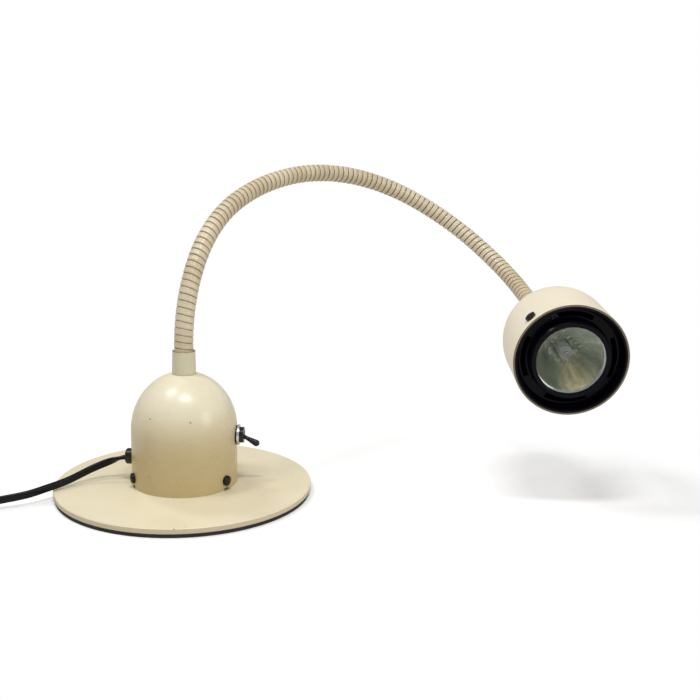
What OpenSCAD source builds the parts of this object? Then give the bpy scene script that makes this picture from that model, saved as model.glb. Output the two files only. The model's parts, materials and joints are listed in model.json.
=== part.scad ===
// Gooseneck desk lamp: a domed transformer housing on a round plate, a wound
// steel neck and a shade for a 12 V reflector lamp. Millimetres, +Z up, +X
// towards the lamp head, origin at the centre of the rubber pad's underside.

/* [Base] */
// Diameter of the steel base plate
plate_d = 180; // [150:1:240]
// Thickness of the steel base plate
plate_t = 3.8; // [3:0.1:6]
// Thickness of the rubber pad under the plate
pad_t = 2.5; // [1.5:0.1:5]
// How far the pad stays inside the edge of the plate
pad_inset = 0.8; // [0:0.1:4]

/* [Housing] */
// Outer diameter of the domed transformer housing
housing_d = 74; // [72:1:90]
// Height of the housing's straight wall
housing_wall_h = 39; // [37:1:60]
// Rise of the dome above the straight wall
housing_dome_h = 40.6; // [40:0.1:60]
// Sheet thickness of the housing and of the shade
shell_t = 1.2; // [0.8:0.1:1.6]
// Height of the housing screws above the plate
housing_screw_h = 7; // [6:0.5:10]

/* [Switch and cable gland] */
// Height of the switch's axis above the plate
switch_h = 34.8; // [32:0.1:36]
// Length of the lever from its pivot to the middle of its tip
lever_len = 12.5; // [10:0.5:20]
// Angle of the lever below the switch's axis
lever_tilt = 28; // [20:1:30]
// Height of the cable gland's axis above the plate
gland_h = 17; // [16:0.5:20]

/* [Transformer] */
// Width of the laminated core
core_w = 48; // [44:1:50]
// Height of the laminated core
core_h = 40; // [36:1:42]
// Thickness of the stack of laminations
core_stack = 20; // [16:1:22]

/* [Neck] */
// Outer diameter of the flexible neck
neck_d = 13.3; // [12.4:0.1:13.8]
// Bore of the neck
neck_bore = 6.8; // [5:0.1:7]
// Length of each bending stretch of the neck
neck_step = 62; // [50:1:80]
// Length of the last bending stretch, which carries the head
neck_last = 71; // [60:1:90]
// Height of the ferrule at the foot of the neck
ferrule_h = 16.4; // [13:0.1:20]

/* [Head] */
// Outer diameter of the shade
shade_d = 76; // [75:0.5:84]
// Length of the shade's straight wall
shade_wall_h = 41; // [40:0.5:60]
// Length of the shade's dome behind the straight wall
shade_dome_h = 48; // [47:0.5:60]
// Diameter of the reflector lamp's rim
lamp_d = 50.2; // [49:0.1:50.4]
// Diameter of the lamp's face that shows inside the bezel
face_d = 45.8; // [44:0.1:46.5]
// Depth of the bezel's ring of ventilation slots
bezel_depth = 8; // [6:0.5:9]

/* [Cord] */
// Width of the flat two-core mains cord
cord_d = 5.4; // [5:0.1:6]
// Thickness of the flat mains cord
cord_t = 2.9; // [2.5:0.1:3.2]

/* [Hidden] */
$fn = 64;

// running clearance of parts that slide or turn, and of a screw in its hole
clear = 0.1;
hole_clear = 0.2;
// gap that a loose cover or clip keeps from its neighbour
loose = 0.3;

plate_z = pad_t;
top_z = pad_t + plate_t;

housing_r = housing_d / 2;
housing_in = housing_r - shell_t;
housing_seat_r = 9.5;
housing_seat_z = top_z + dome_top(housing_r, housing_wall_h, housing_dome_h, housing_seat_r);
housing_roof_z = top_z
    + dome_top(housing_in, housing_wall_h, housing_dome_h - shell_t, housing_seat_r);

// the three housing screws stand at 120 degrees
housing_screw_angles = [90, 210, 330];
screw_r = 2;
screw_head_r = 3.6;
screw_head_h = 2.6;
screw_thread_len = 7;
tapped_r = screw_r + 0.02;

// sheet chassis on the plate: a disc with one upright tab behind each screw
chassis_t = 1.5;
chassis_r = housing_in - 2.6;
chassis_top = top_z + chassis_t;
tab_w = 10;
tab_out = housing_in - 0.6;
tab_h = housing_screw_h + 4.5;
bolt_inset = [11.7, 13.2];
chassis_bolts = [chassis_r - bolt_inset[0], chassis_r - bolt_inset[1]];
bolt_r = 2;
bolt_head_r = 3.9;
bolt_head_h = 2.3;
nut_flat = 7;
nut_h = 3.2;

// transformer: E and I laminations round a bobbin
core_gap = 0.8;
core_z = chassis_top + core_gap;
core_leg = core_w / 3;
window_w = core_w / 6;
window_h = core_h - 2 * window_w;
bobbin_wall = 0.8;
bobbin_flange = 1;
winding_out = core_leg / 2 + window_w - 0.4;
winding_deep = core_stack / 2 + window_w - 1;
strap_t = 1;
strap_w = 14;
strap_foot = 6;
strap_screw_r = 1.5;

// switch
switch_z = top_z + switch_h;
gasket_t = 0.7;
washer_t = 1.6;
washer_r = 7.25;
ring_nut_t = 2.9;
ring_nut_r = 5.6;
bushing_r = 3.9;
lever_ball_r = 2.6;
lever_neck_r = 1.3;
lever_tip_r = 2.4;
switch_body = [12, 12, 19];
switch_front = housing_in - 1.2;
switch_end = housing_r + gasket_t + washer_t + ring_nut_t;
lever_x = switch_end - 2.4;
blade = [4.5, 4, 0.8];
blade_step = 6;

// cable gland and terminal block
gland_z = top_z + gland_h;
gland_r = 5.6;
gland_out = 4.9;
gland_neck_r = 4.7;
gland_back_r = 5.7;
block = [10, 20, 9.5];
block_inset = 10.6;
block_x = -(housing_in - block_inset);
lead_r = 1;
lead_step = 3.2;
lead_bend = 4.4;

// neck: a straight root, then arcs that each start at a pivot
neck_r = neck_d / 2;
ferrule_foot_r = neck_r + 1.65;
ferrule_top_r = neck_r + 1.26;
root_above = 4.1;
neck_start_z = housing_seat_z + ferrule_h + root_above;
neck_bend = [35, 30, 20, 23.5, 26, 34.5, 39.5, 24.5];
neck_turn = [68, 50, 18, 21, 15, -2, -11, -23];
neck_n = len(neck_bend);
ball_r = neck_r - 0.9;
end_gap = 2.5;
bore_flare = 0.3;
sheath_taper = 0.15;
sheath_r = neck_bore / 2 - loose;
sheath_reach = 3;
nipple_r = 5;
nipple_in = 12;
nipple_out = 10;
locknut_flat = 14;
locknut_h = 3.6;
washer_thin = 1;

// head, measured from the shade's front rim, with -Z towards the neck
shade_r = shade_d / 2;
shade_in = shade_r - shell_t;
shade_seat_r = 11;
shade_len = dome_top(shade_r, shade_wall_h, shade_dome_h, shade_seat_r);
shade_roof = -dome_top(shade_in, shade_wall_h, shade_dome_h - shell_t, shade_seat_r);
head_roll = 158;
shade_screw_back = 8;
bezel_r = shade_in - 0.15;
bezel_t = 1.2;
bezel_skirt = bezel_depth + 3.6;
face_r = face_d / 2;
lamp_r = lamp_d / 2;
collar_in = lamp_r + 0.2;
collar_out = collar_in + 1.2;
lip_back = -1.3;
trough_in = collar_out + 0.9;
trough_out = bezel_r - 3.6;
slot_r = (trough_in + trough_out) / 2;
slot_w = trough_out - trough_in - 2.4;
slot_angle = 54;
lamp_len = 43;
lamp_neck_r = 8;
lamp_neck_z = -30;
lamp_wall = 1.4;
glass_t = 1;
glass_r = lamp_r - 1;
capsule_r = 4.8;
pin_step = 5.3;
pin_r = 0.77;
pin_len = 7.4;
socket = [18.6, 12, 10.5];
socket_z = -lamp_len - loose;
arm_t = 1;
arm_w = 7;

// mains cord: route from the gland over the plate to the coil
cord_r = cord_d / 2;
cord_exit_x = -(housing_r + gland_out);
cord_route = [
    [cord_exit_x - 0.1, 0, gland_z], [-45, 0, gland_z - 1], [-50, -1, 20.3], [-57, -2.5, 17.6],
    [-65, -7, 15], [-71, -13, 12.9], [-77, -20, 11.1], [-83, -26.5, 9.9],
    [-88, -32, 9.3], [-94, -38, 8.4], [-101, -42.5, 7.4], [-114, -48, 6],
    [-128, -52.5, 4.2], [-139, -54.6, 3], [-163, -55, 2.8]
];
tail_route = [
    [-210, -95, 18.7], [-210, -103, 17.6], [-210, -112, 14.4], [-210, -121, 10.2],
    [-210, -130.5, 7.4]
];
// the coil's turns stand on edge, two or three side by side in each row
coil_x = -176;
coil_y = -89;
coil_mid_r = 31;
coil_rows = 4;
coil_half = 1.5 * (cord_t + 0.1);
coil_h = coil_rows * cord_d;
plug_x = coil_x - coil_mid_r - cord_t;
plug_y = -130;
plug_lead = 14;
plug_len = 35;
plug_half = [7, 17];
plug_t = 14;
plug_pin_r = 2;
plug_pin_len = 19;
plug_pin_step = 18.6;

// ---- shared geometry -------------------------------------------------------

// height at which a dome of radius r, on a wall of height h, is stop_r wide
function dome_top(r, h, rise, stop_r) = h + rise * sqrt(1 - pow(stop_r / r, 2));

// points of a dome's curve, from the wall up to radius stop_r
function dome_curve(r, h, rise, stop_r, steps = 16) =
    [for (i = [0:steps]) let (a = i * acos(stop_r / r) / steps)
        [r * cos(a), h + rise * sin(a)]];

function reversed(list) = [for (i = [len(list) - 1:-1:0]) list[i]];

// thin domed shell standing on z = 0, with a flat seat and a hole at its top
module domed_shell(r, wall_h, rise, t, seat_r, hole_r) {
    top = dome_top(r, wall_h, rise, seat_r);
    roof = dome_top(r - t, wall_h, rise - t, seat_r);
    rotate_extrude($fn = 96)
        polygon(concat(
            [[r, 0]], dome_curve(r, wall_h, rise, seat_r), [[hole_r, top], [hole_r, roof]],
            reversed(dome_curve(r - t, wall_h, rise - t, seat_r)), [[r - t, 0]]));
}

// hexagonal nut with a bore, standing on z = 0
module hex_nut(flat, h, r) {
    difference() {
        cylinder(d = flat / cos(30), h = h, $fn = 6);
        translate([0, 0, -1]) cylinder(r = r, h = h + 2);
    }
}

module tube(r, hole, h) {
    difference() {
        cylinder(r = r, h = h);
        translate([0, 0, -1]) cylinder(r = hole, h = h + 2);
    }
}

// pan-head screw along +X, with the underside of its head at x = 0
module pan_screw(r, head_r, head_h, len) {
    rotate([0, 90, 0]) {
        translate([0, 0, -len]) cylinder(r = r, h = len);
        intersection() {
            translate([0, 0, -0.01]) cylinder(r = head_r, h = head_h);
            translate([0, 0, head_h - 2 * head_r]) sphere(r = 2 * head_r);
        }
    }
}

// ---- the neck's frames -----------------------------------------------------

function neck_len(i) = i == neck_n - 1 ? neck_last : neck_step;
function arc_r(i) = neck_len(i) * 180 / (PI * neck_bend[i]);

// from the start of stretch i to its end
module along_stretch(i) {
    rotate([0, 0, neck_turn[i]])
        translate([arc_r(i) * (1 - cos(neck_bend[i])), 0, arc_r(i) * sin(neck_bend[i])])
            rotate([0, neck_bend[i], 0])
                rotate([0, 0, -neck_turn[i]]) children();
}

// frame k stands at the start of stretch k, with +Z along the neck
module neck_frame(k) {
    if (k == 0) translate([0, 0, neck_start_z]) children();
    else neck_frame(k - 1) along_stretch(k - 1) children();
}

// bent rod of stretch i in its own frame, short of the ends by the given lengths
module bent_rod(i, r, from = 0, short = 0) {
    a = from * 180 / (PI * arc_r(i));
    b = neck_bend[i] - short * 180 / (PI * arc_r(i));
    rotate([0, 0, neck_turn[i]]) translate([arc_r(i), 0, 0]) rotate([90, 0, 180])
        rotate([0, 0, a]) rotate_extrude(angle = b - a, $fn = 96)
            translate([arc_r(i), 0]) circle(r = r, $fn = 48);
}

module at_head() {
    neck_frame(neck_n) rotate([0, 0, head_roll]) translate([0, 0, shade_len]) children();
}

// ---- base ------------------------------------------------------------------

module base_pad() {
    color([0.14, 0.14, 0.14]) cylinder(r = plate_d / 2 - pad_inset, h = pad_t, $fn = 128);
}

module at_chassis_bolts() {
    for (sx = [-1, 1], sy = [-1, 1])
        translate([sx * chassis_bolts[0], sy * chassis_bolts[1], 0]) children();
}

module base_plate() {
    edge = 0.5;
    color([0.89, 0.84, 0.7]) difference() {
        translate([0, 0, plate_z]) rotate_extrude($fn = 128)
            polygon([[0, 0], [plate_d / 2 - edge, 0], [plate_d / 2, edge],
                [plate_d / 2, plate_t - edge], [plate_d / 2 - edge, plate_t], [0, plate_t]]);
        at_chassis_bolts() {
            translate([0, 0, plate_z - 1])
                cylinder(r = bolt_r + hole_clear, h = plate_t + 2);
            translate([0, 0, plate_z - 0.01]) cylinder(r1 = bolt_head_r + hole_clear,
                r2 = bolt_r + hole_clear, h = bolt_head_h);
        }
    }
}

module chassis() {
    lift = chassis_t / 2;
    color("silver") {
        translate([0, 0, top_z]) linear_extrude(chassis_t) difference() {
            union() {
                circle(r = chassis_r, $fn = 96);
                for (a = housing_screw_angles) rotate([0, 0, a])
                    translate([chassis_r - 4, -tab_w / 2 + loose])
                        square([tab_out - loose - chassis_r + 4, tab_w - 2 * loose]);
            }
            at_chassis_bolts() circle(r = bolt_r + hole_clear);
            for (s = [-1, 1]) translate([0, s * strap_screw_y()])
                circle(r = strap_screw_r + 0.02);
        }
        for (a = housing_screw_angles) rotate([0, 0, a]) difference() {
            translate([tab_out - chassis_t, -tab_w / 2, top_z + lift])
                cube([chassis_t, tab_w, tab_h - lift]);
            translate([tab_out - 2 * chassis_t, 0, top_z + housing_screw_h])
                rotate([0, 90, 0]) cylinder(r = tapped_r, h = 3 * chassis_t);
        }
    }
}

module chassis_screws() {
    color("silver") at_chassis_bolts() translate([0, 0, plate_z]) {
        cylinder(r1 = bolt_head_r, r2 = bolt_r, h = bolt_head_h);
        cylinder(r = bolt_r, h = plate_t + chassis_t + nut_h + 0.8);
    }
}

module chassis_nuts() {
    color("silver") at_chassis_bolts() translate([0, 0, chassis_top])
        hex_nut(nut_flat, nut_h, bolt_r + 0.02);
}

// ---- housing ---------------------------------------------------------------

module housing() {
    notch = [8, 5, 1.7];
    drill = 10;
    color([0.87, 0.81, 0.66]) difference() {
        translate([0, 0, top_z]) domed_shell(housing_r, housing_wall_h, housing_dome_h,
            shell_t, housing_seat_r, nipple_r + hole_clear);
        for (a = housing_screw_angles) rotate([0, 0, a]) {
            translate([housing_r - drill / 2, 0, top_z + housing_screw_h])
                rotate([0, 90, 0]) cylinder(r = screw_r + hole_clear, h = drill);
            translate([housing_r - notch[0] / 2, -notch[1] / 2, top_z - 0.01]) cube(notch);
        }
        translate([housing_r - drill / 2, 0, switch_z]) rotate([0, 90, 0])
            cylinder(r = bushing_r + hole_clear, h = drill);
        translate([-housing_r - drill / 2, 0, gland_z]) rotate([0, 90, 0])
            cylinder(r = gland_neck_r + hole_clear, h = drill);
    }
}

module housing_screws() {
    color([0.1, 0.1, 0.1]) for (a = housing_screw_angles) rotate([0, 0, a])
        translate([housing_r + 0.05, 0, top_z + housing_screw_h])
            pan_screw(screw_r, screw_head_r, screw_head_h, screw_thread_len);
}

// ---- transformer and wiring in the base -------------------------------------

function strap_screw_y() = core_w / 2 + strap_t + strap_foot / 2;

module box(size, center_z) {
    translate([-size[0] / 2, -size[1] / 2, center_z - size[2] / 2]) cube(size);
}

module transformer_core() {
    mid = core_z + core_h / 2;
    color([0.35, 0.35, 0.37]) difference() {
        box([core_stack, core_w, core_h], mid);
        for (s = [-1, 1]) translate([0, s * (core_leg + window_w) / 2, 0])
            box([core_stack + 2, window_w, window_h], mid);
    }
}

// square sleeve round the core's middle leg
module leg_sleeve(half_x, half_y, wall, low, high) {
    inner_x = half_x - wall;
    inner_y = half_y - wall;
    translate([0, 0, low]) linear_extrude(high - low) difference() {
        square([2 * half_x, 2 * half_y], center = true);
        square([2 * inner_x, 2 * inner_y], center = true);
    }
}

function sleeve_x() = core_stack / 2 + loose + bobbin_wall;
function sleeve_y() = core_leg / 2 + loose + bobbin_wall;

module transformer_bobbin() {
    low = core_z + window_w + 0.1;
    high = core_z + core_h - window_w - 0.1;
    fx = winding_deep + 0.4;
    fy = winding_out + 0.2;
    color("ivory") {
        leg_sleeve(sleeve_x(), sleeve_y(), bobbin_wall, low, high);
        for (z = [low, high - bobbin_flange])
            leg_sleeve(fx, fy, min(fx - sleeve_x(), fy - sleeve_y()) + 0.2, z,
                z + bobbin_flange);
        for (z = [low, high - bobbin_flange], s = [-1, 1])
            translate([s * (sleeve_x() + fx) / 2, 0, z])
                box([fx - sleeve_x() + 0.2, 2 * sleeve_y(), bobbin_flange],
                    bobbin_flange / 2);
    }
}

module winding(low, high) {
    difference() {
        translate([0, 0, low]) linear_extrude(high - low)
            square([2 * winding_deep, 2 * winding_out], center = true);
        translate([0, 0, low - 1]) linear_extrude(high - low + 2)
            square([2 * (sleeve_x() + clear), 2 * (sleeve_y() + clear)], center = true);
    }
}

function winding_low() = core_z + window_w + 0.2 + bobbin_flange;
function winding_high() = core_z + core_h - window_w - 0.2 - bobbin_flange;
function winding_mid() = (winding_low() + winding_high()) / 2;

module primary_winding() {
    color([0.75, 0.42, 0.2]) winding(winding_low(), winding_mid() - 0.2);
}

module secondary_winding() {
    color([0.8, 0.5, 0.25]) winding(winding_mid() + 0.2, winding_high());
}

module transformer_strap() {
    side = core_w / 2;
    top = core_z + core_h;
    color("silver") difference() {
        union() {
            translate([-strap_w / 2, -side - strap_t, top])
                cube([strap_w, core_w + 2 * strap_t, strap_t]);
            for (s = [-1, 1]) {
                translate([-strap_w / 2, s > 0 ? side : -side - strap_t, chassis_top])
                    cube([strap_w, strap_t, top - chassis_top + strap_t]);
                translate([-strap_w / 2, s > 0 ? side : -side - strap_t - strap_foot,
                    chassis_top]) cube([strap_w, strap_t + strap_foot, strap_t]);
            }
        }
        for (s = [-1, 1]) translate([0, s * strap_screw_y(), chassis_top - 1])
            cylinder(r = strap_screw_r + hole_clear, h = strap_t + 2);
    }
}

module strap_screws() {
    color("silver") for (s = [-1, 1])
        translate([0, s * strap_screw_y(), chassis_top + strap_t]) {
            cylinder(r = 2.4, h = 1.6);
            translate([0, 0, -strap_t - chassis_t + 0.1])
                cylinder(r = strap_screw_r, h = strap_t + chassis_t);
        }
}

module terminal_block() {
    color("ivory") difference() {
        translate([block_x - block[0] / 2, -block[1] / 2, chassis_top]) cube(block);
        for (y = [-6, 0, 6]) translate([block_x + 2, y, chassis_top + block[2] - 4])
            cylinder(r = 1.6, h = 5);
    }
}

// the two cores of the cord, from the gland down to the terminal block
module mains_leads() {
    x = -(housing_in - 2.6) + clear;
    drop = gland_z - lead_bend - chassis_top - block[2];
    for (s = [-1, 1]) color(s > 0 ? "saddlebrown" : "steelblue")
        translate([x, s * lead_step / 2, gland_z]) {
            translate([0, 0, -lead_bend]) rotate([-90, 0, 0]) rotate([0, 0, -90])
                rotate_extrude(angle = 90) translate([lead_bend, 0]) circle(r = lead_r);
            if (drop > 0.1) translate([lead_bend, 0, -lead_bend - drop])
                cylinder(r = lead_r, h = drop + 0.01);
        }
}

// two low-voltage cores from the transformer, joining in one sheath in the nipple
module lamp_lead_foot() {
    low = core_z + core_h + strap_t;
    joint_z = housing_seat_z - nipple_out + 2;
    color([0.2, 0.2, 0.2]) {
        for (s = [-1, 1]) translate([s * lead_step / 2, 0, low])
            cylinder(r = lead_r, h = joint_z - low + 1);
        translate([0, 0, joint_z])
            cylinder(r = sheath_r, h = neck_start_z + sheath_reach - joint_z);
    }
}

// ---- foot of the neck -------------------------------------------------------

module neck_nipple() {
    color("silver") translate([0, 0, housing_seat_z - nipple_out])
        tube(nipple_r, neck_bore / 2, nipple_out + nipple_in);
}

module neck_washer() {
    color("silver") translate([0, 0, housing_roof_z - washer_thin - 0.02])
        tube(housing_seat_r - 0.6, nipple_r + clear, washer_thin);
}

module neck_locknut() {
    color("silver") translate([0, 0, housing_roof_z - washer_thin - locknut_h - 0.04])
        hex_nut(locknut_flat, locknut_h, nipple_r + 0.02);
}

module ferrule() {
    color([0.8, 0.78, 0.66]) translate([0, 0, housing_seat_z]) difference() {
        cylinder(r1 = ferrule_foot_r, r2 = ferrule_top_r, h = ferrule_h);
        translate([0, 0, -1]) cylinder(r = neck_r + clear, h = ferrule_h + 2);
    }
}

module neck_root() {
    h = ferrule_h + root_above - end_gap;
    color([0.84, 0.8, 0.66]) translate([0, 0, housing_seat_z]) difference() {
        union() {
            cylinder(r = neck_r, h = h);
            translate([0, 0, h + end_gap]) sphere(r = ball_r);
        }
        translate([0, 0, -1]) cylinder(r = nipple_r + 0.03, h = nipple_in + 1.2);
        translate([0, 0, -1]) cylinder(r = neck_bore / 2, h = h + end_gap + ball_r + 2);
    }
}

// ---- neck stretches ---------------------------------------------------------

// one stretch: a cup round the ball before it, and a ball at its own end
module neck_section(i) {
    last = i == neck_n;
    k = i - 1;
    color([0.84, 0.8, 0.66]) neck_frame(k) difference() {
        union() {
            bent_rod(k, neck_r, end_gap, last ? 0 : end_gap);
            if (!last) along_stretch(k) sphere(r = ball_r);
        }
        sphere(r = ball_r + clear);
        bent_rod(k, neck_bore / 2);
        if (last) along_stretch(k) translate([0, 0, -nipple_out + 1])
            cylinder(r = nipple_r + 0.03, h = nipple_out);
        else along_stretch(k) translate([0, 0, -1])
            cylinder(r = neck_bore / 2 + bore_flare, h = ball_r + 2);
    }
}

// the lamp's two-core lead inside stretch i, on into the ball at its end
module lamp_lead(i) {
    k = i - 1;
    color([0.25, 0.25, 0.25]) neck_frame(k) {
        bent_rod(k, sheath_r, ball_r + 0.4, 0);
        along_stretch(k) translate([0, 0, -1])
            cylinder(r = sheath_r - sheath_taper, h = sheath_reach + 1);
    }
}

// ---- switch, gland ----------------------------------------------------------

module at_switch() {
    translate([0, 0, switch_z]) children();
}

module switch_body() {
    color([0.12, 0.12, 0.12]) at_switch()
        translate([switch_front - switch_body[0], -switch_body[1] / 2, -switch_body[2] / 2])
            cube(switch_body);
}

module switch_blades() {
    color("goldenrod") at_switch() for (k = [-1, 0, 1])
        translate([switch_front - switch_body[0] - blade[0], -blade[1] / 2,
            k * blade_step - blade[2] / 2]) cube(blade);
}

module switch_bushing() {
    start = switch_front + 0.01;
    mouth = switch_end - lever_x;
    color("silver") at_switch() difference() {
        translate([start, 0, 0]) rotate([0, 90, 0])
            cylinder(r = bushing_r, h = switch_end - start);
        translate([lever_x, 0, 0]) sphere(r = lever_ball_r + clear);
        translate([lever_x, 0, 0]) rotate([0, 90, 0])
            cylinder(r1 = 1.9, r2 = 1.9 + mouth * tan(lever_tilt + 3), h = mouth + 0.01);
    }
}

module switch_gasket() {
    color([0.1, 0.1, 0.1]) at_switch() translate([housing_r + 0.02, 0, 0])
        rotate([0, 90, 0]) tube(washer_r - 0.3, bushing_r + clear, gasket_t - 0.04);
}

module switch_washer() {
    color([0.85, 0.86, 0.88]) at_switch() translate([housing_r + gasket_t, 0, 0])
        rotate([0, 90, 0]) tube(washer_r, bushing_r + clear, washer_t - 0.02);
}

module switch_nut() {
    color([0.08, 0.08, 0.08]) at_switch()
        translate([housing_r + gasket_t + washer_t, 0, 0]) rotate([0, 90, 0])
            tube(ring_nut_r, bushing_r + 0.02, ring_nut_t);
}

module switch_lever() {
    color([0.06, 0.06, 0.06]) at_switch() translate([lever_x, 0, 0])
        rotate([0, 90 + lever_tilt, 0]) {
            sphere(r = lever_ball_r);
            cylinder(r1 = 1.8, r2 = lever_neck_r, h = 4.6);
            translate([0, 0, 4.5])
                cylinder(r1 = lever_neck_r, r2 = lever_tip_r, h = lever_len - 4.5);
            translate([0, 0, lever_len]) sphere(r = lever_tip_r);
        }
}

module cable_gland() {
    round = 1.4;
    color([0.06, 0.06, 0.06]) translate([0, 0, gland_z]) rotate([0, -90, 0])
        rotate_extrude() polygon(concat(
            [[0, housing_in - 2.4], [gland_back_r, housing_in - 2.4],
            [gland_back_r, housing_in - 0.7], [gland_neck_r, housing_in - 0.7],
            [gland_neck_r, housing_r + 0.05], [gland_r, housing_r + 0.05]],
            [for (a = [0:15:90]) [gland_r - round + round * cos(a),
                housing_r + gland_out - round + round * sin(a)]],
            [[0, housing_r + gland_out]]));
}

// ---- mains cord -------------------------------------------------------------

function unit(v) = v / norm(v);

// direction of the route at point i
function heading(p, i) = unit(p[min(i + 1, len(p) - 1)] - p[max(i - 1, 0)]);

// smooth points between the route's own, by Catmull-Rom
function spline_at(p, i, t) =
    let (a = p[max(i - 1, 0)], b = p[i], c = p[i + 1], d = p[min(i + 2, len(p) - 1)])
    0.5 * (2 * b + (c - a) * t + (2 * a - 5 * b + 4 * c - d) * t * t
        + (3 * b - a - 3 * c + d) * t * t * t);

function smooth(p, n) = concat(
    [for (i = [0:len(p) - 2], k = [0:n - 1]) spline_at(p, i, k / n)], [p[len(p) - 1]]);

module swept_tube(p, r, sides) {
    rings = [for (i = [0:len(p) - 1])
        let (t = heading(p, i), side = unit(cross([0, 0, 1], t)), up = cross(t, side))
        for (k = [0:sides - 1]) p[i] + r * (cos(360 * k / sides) * side
            + sin(360 * k / sides) * up)];
    last = (len(p) - 1) * sides;
    walls = [for (i = [0:len(p) - 2], k = [0:sides - 1]) let (j = (k + 1) % sides)
        [i * sides + k, (i + 1) * sides + k, (i + 1) * sides + j, i * sides + j]];
    polyhedron(rings, concat(walls, [[for (k = [0:sides - 1]) k]],
        [[for (k = [sides - 1:-1:0]) last + k]]));
}

module mains_cord() {
    color([0.08, 0.08, 0.08]) {
        swept_tube(smooth(cord_route, 2), cord_r, 8);
        swept_tube(smooth(tail_route, 2), cord_r, 8);
    }
}

module cord_coil() {
    edge = cord_t / 2;
    inner = coil_mid_r - coil_half;
    outer = coil_mid_r + coil_half;
    color([0.08, 0.08, 0.08]) translate([coil_x, coil_y, 0]) rotate_extrude($fn = 96)
        polygon([[inner, edge], [inner + edge, 0], [outer - edge, 0], [outer, edge],
            [outer, coil_h - edge], [outer - edge, coil_h], [inner + edge, coil_h],
            [inner, coil_h - edge]]);
}

module plug_body() {
    color([0.08, 0.08, 0.08]) translate([plug_x, plug_y, 0]) {
        translate([0, 0, plug_t / 2]) rotate([90, 0, 0])
            cylinder(r1 = cord_r + 1, r2 = cord_r + 2.2, h = plug_lead);
        translate([0, -plug_lead, 0]) linear_extrude(plug_t)
            polygon([[-plug_half[0], 0.01], [plug_half[0], 0.01],
                [plug_half[1], -plug_len * 0.55], [plug_half[1], -plug_len],
                [-plug_half[1], -plug_len], [-plug_half[1], -plug_len * 0.55]]);
    }
}

module plug_pins() {
    color("silver") for (s = [-1, 1])
        translate([plug_x + s * plug_pin_step / 2, plug_y - plug_lead - plug_len,
            plug_t / 2]) rotate([90, 0, 0]) cylinder(r = plug_pin_r, h = plug_pin_len);
}

// ---- head -------------------------------------------------------------------

module shade() {
    color([0.91, 0.86, 0.75]) at_head() difference() {
        rotate([180, 0, 0]) domed_shell(shade_r, shade_wall_h, shade_dome_h, shell_t,
            shade_seat_r, nipple_r + hole_clear);
        for (a = [0, 180]) rotate([0, 0, a]) translate([shade_r - 5, 0, -shade_screw_back])
            rotate([0, 90, 0]) cylinder(r = screw_r + hole_clear, h = 10);
    }
}

module shade_screws() {
    color([0.1, 0.1, 0.1]) at_head() for (a = [0, 180]) rotate([0, 0, a])
        translate([shade_r + 0.05, 0, -shade_screw_back])
            pan_screw(screw_r, screw_head_r, screw_head_h, shell_t + bezel_t + 0.4);
}

module head_nipple() {
    color("silver") at_head() translate([0, 0, -shade_len - nipple_out + 1.5])
        tube(nipple_r, neck_bore / 2, 2 * nipple_out - 2.5);
}

module socket_bracket() {
    color("silver") at_head() difference() {
        union() {
            translate([0, 0, shade_roof + 0.03]) cylinder(r = shade_seat_r - 0.4, h = arm_t);
            for (s = [0, 180]) rotate([0, 0, s])
                translate([socket[0] / 2 + 0.02, -arm_w / 2, shade_roof + 0.03])
                    cube([arm_t, arm_w, socket_z - shade_roof - 2]);
        }
        translate([0, 0, shade_roof - 1]) cylinder(r = nipple_r + clear, h = arm_t + 2);
    }
}

module head_locknut() {
    color("silver") at_head() translate([0, 0, shade_roof + arm_t + 0.05])
        hex_nut(locknut_flat, locknut_h, nipple_r + 0.02);
}

module lamp_socket() {
    color([0.93, 0.92, 0.88]) at_head() difference() {
        translate([-socket[0] / 2, -socket[1] / 2, socket_z - socket[2]]) cube(socket);
        for (s = [-1, 1]) translate([s * pin_step / 2, 0, socket_z - pin_len - 0.4])
            cylinder(r = pin_r + clear, h = pin_len + 1);
    }
}

module head_leads() {
    back = socket_z - socket[2];
    start = -shade_len + sheath_reach;
    color([0.2, 0.2, 0.2]) at_head() for (s = [-1, 1])
        translate([s * lead_step / 2, 0, start]) cylinder(r = lead_r, h = back - start);
}

module bezel() {
    d = bezel_depth;
    color([0.05, 0.05, 0.05]) at_head() difference() {
        rotate_extrude($fn = 96) polygon([[bezel_r, -bezel_skirt], [bezel_r, 0],
            [bezel_r - 1.2, 0], [trough_out + 0.5, 1 - d], [trough_out, -d],
            [trough_in, -d], [collar_out + 0.2, 1 - d], [collar_out, -0.4],
            [collar_out - 0.7, 0.6], [face_r + 0.7, 0.6], [face_r, 0], [face_r, lip_back],
            [collar_in, lip_back], [collar_in, -d - bezel_t],
            [bezel_r - bezel_t, -d - bezel_t], [bezel_r - bezel_t, -bezel_skirt]]);
        for (q = [45:90:315]) rotate([0, 0, q - slot_angle / 2])
            translate([0, 0, -d - bezel_t - 1]) rotate_extrude(angle = slot_angle)
                translate([slot_r - slot_w / 2, 0]) square([slot_w, bezel_t + 2]);
        for (a = [0, 180]) rotate([0, 0, a])
            translate([bezel_r - bezel_t - 1, 0, -shade_screw_back])
                rotate([0, 90, 0]) cylinder(r = tapped_r, h = 6);
    }
}

module lamp_reflector() {
    front = lip_back - 0.1;
    color([0.6, 0.62, 0.6]) at_head() rotate_extrude($fn = 96) polygon(concat(
        [[lamp_r, front], [lamp_r, front - 2.2]],
        [for (i = [0:8]) reflector_point(i / 8, 0)],
        [[lamp_neck_r, -lamp_len], [0, -lamp_len], [0, lamp_neck_z - 4],
        [capsule_r + 0.6, lamp_neck_z - 4]],
        [for (i = [8:-1:0]) reflector_point(i / 8, lamp_wall)],
        [[glass_r + 0.1, front - glass_t - 0.1], [glass_r + 0.1, front]]));
}

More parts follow.
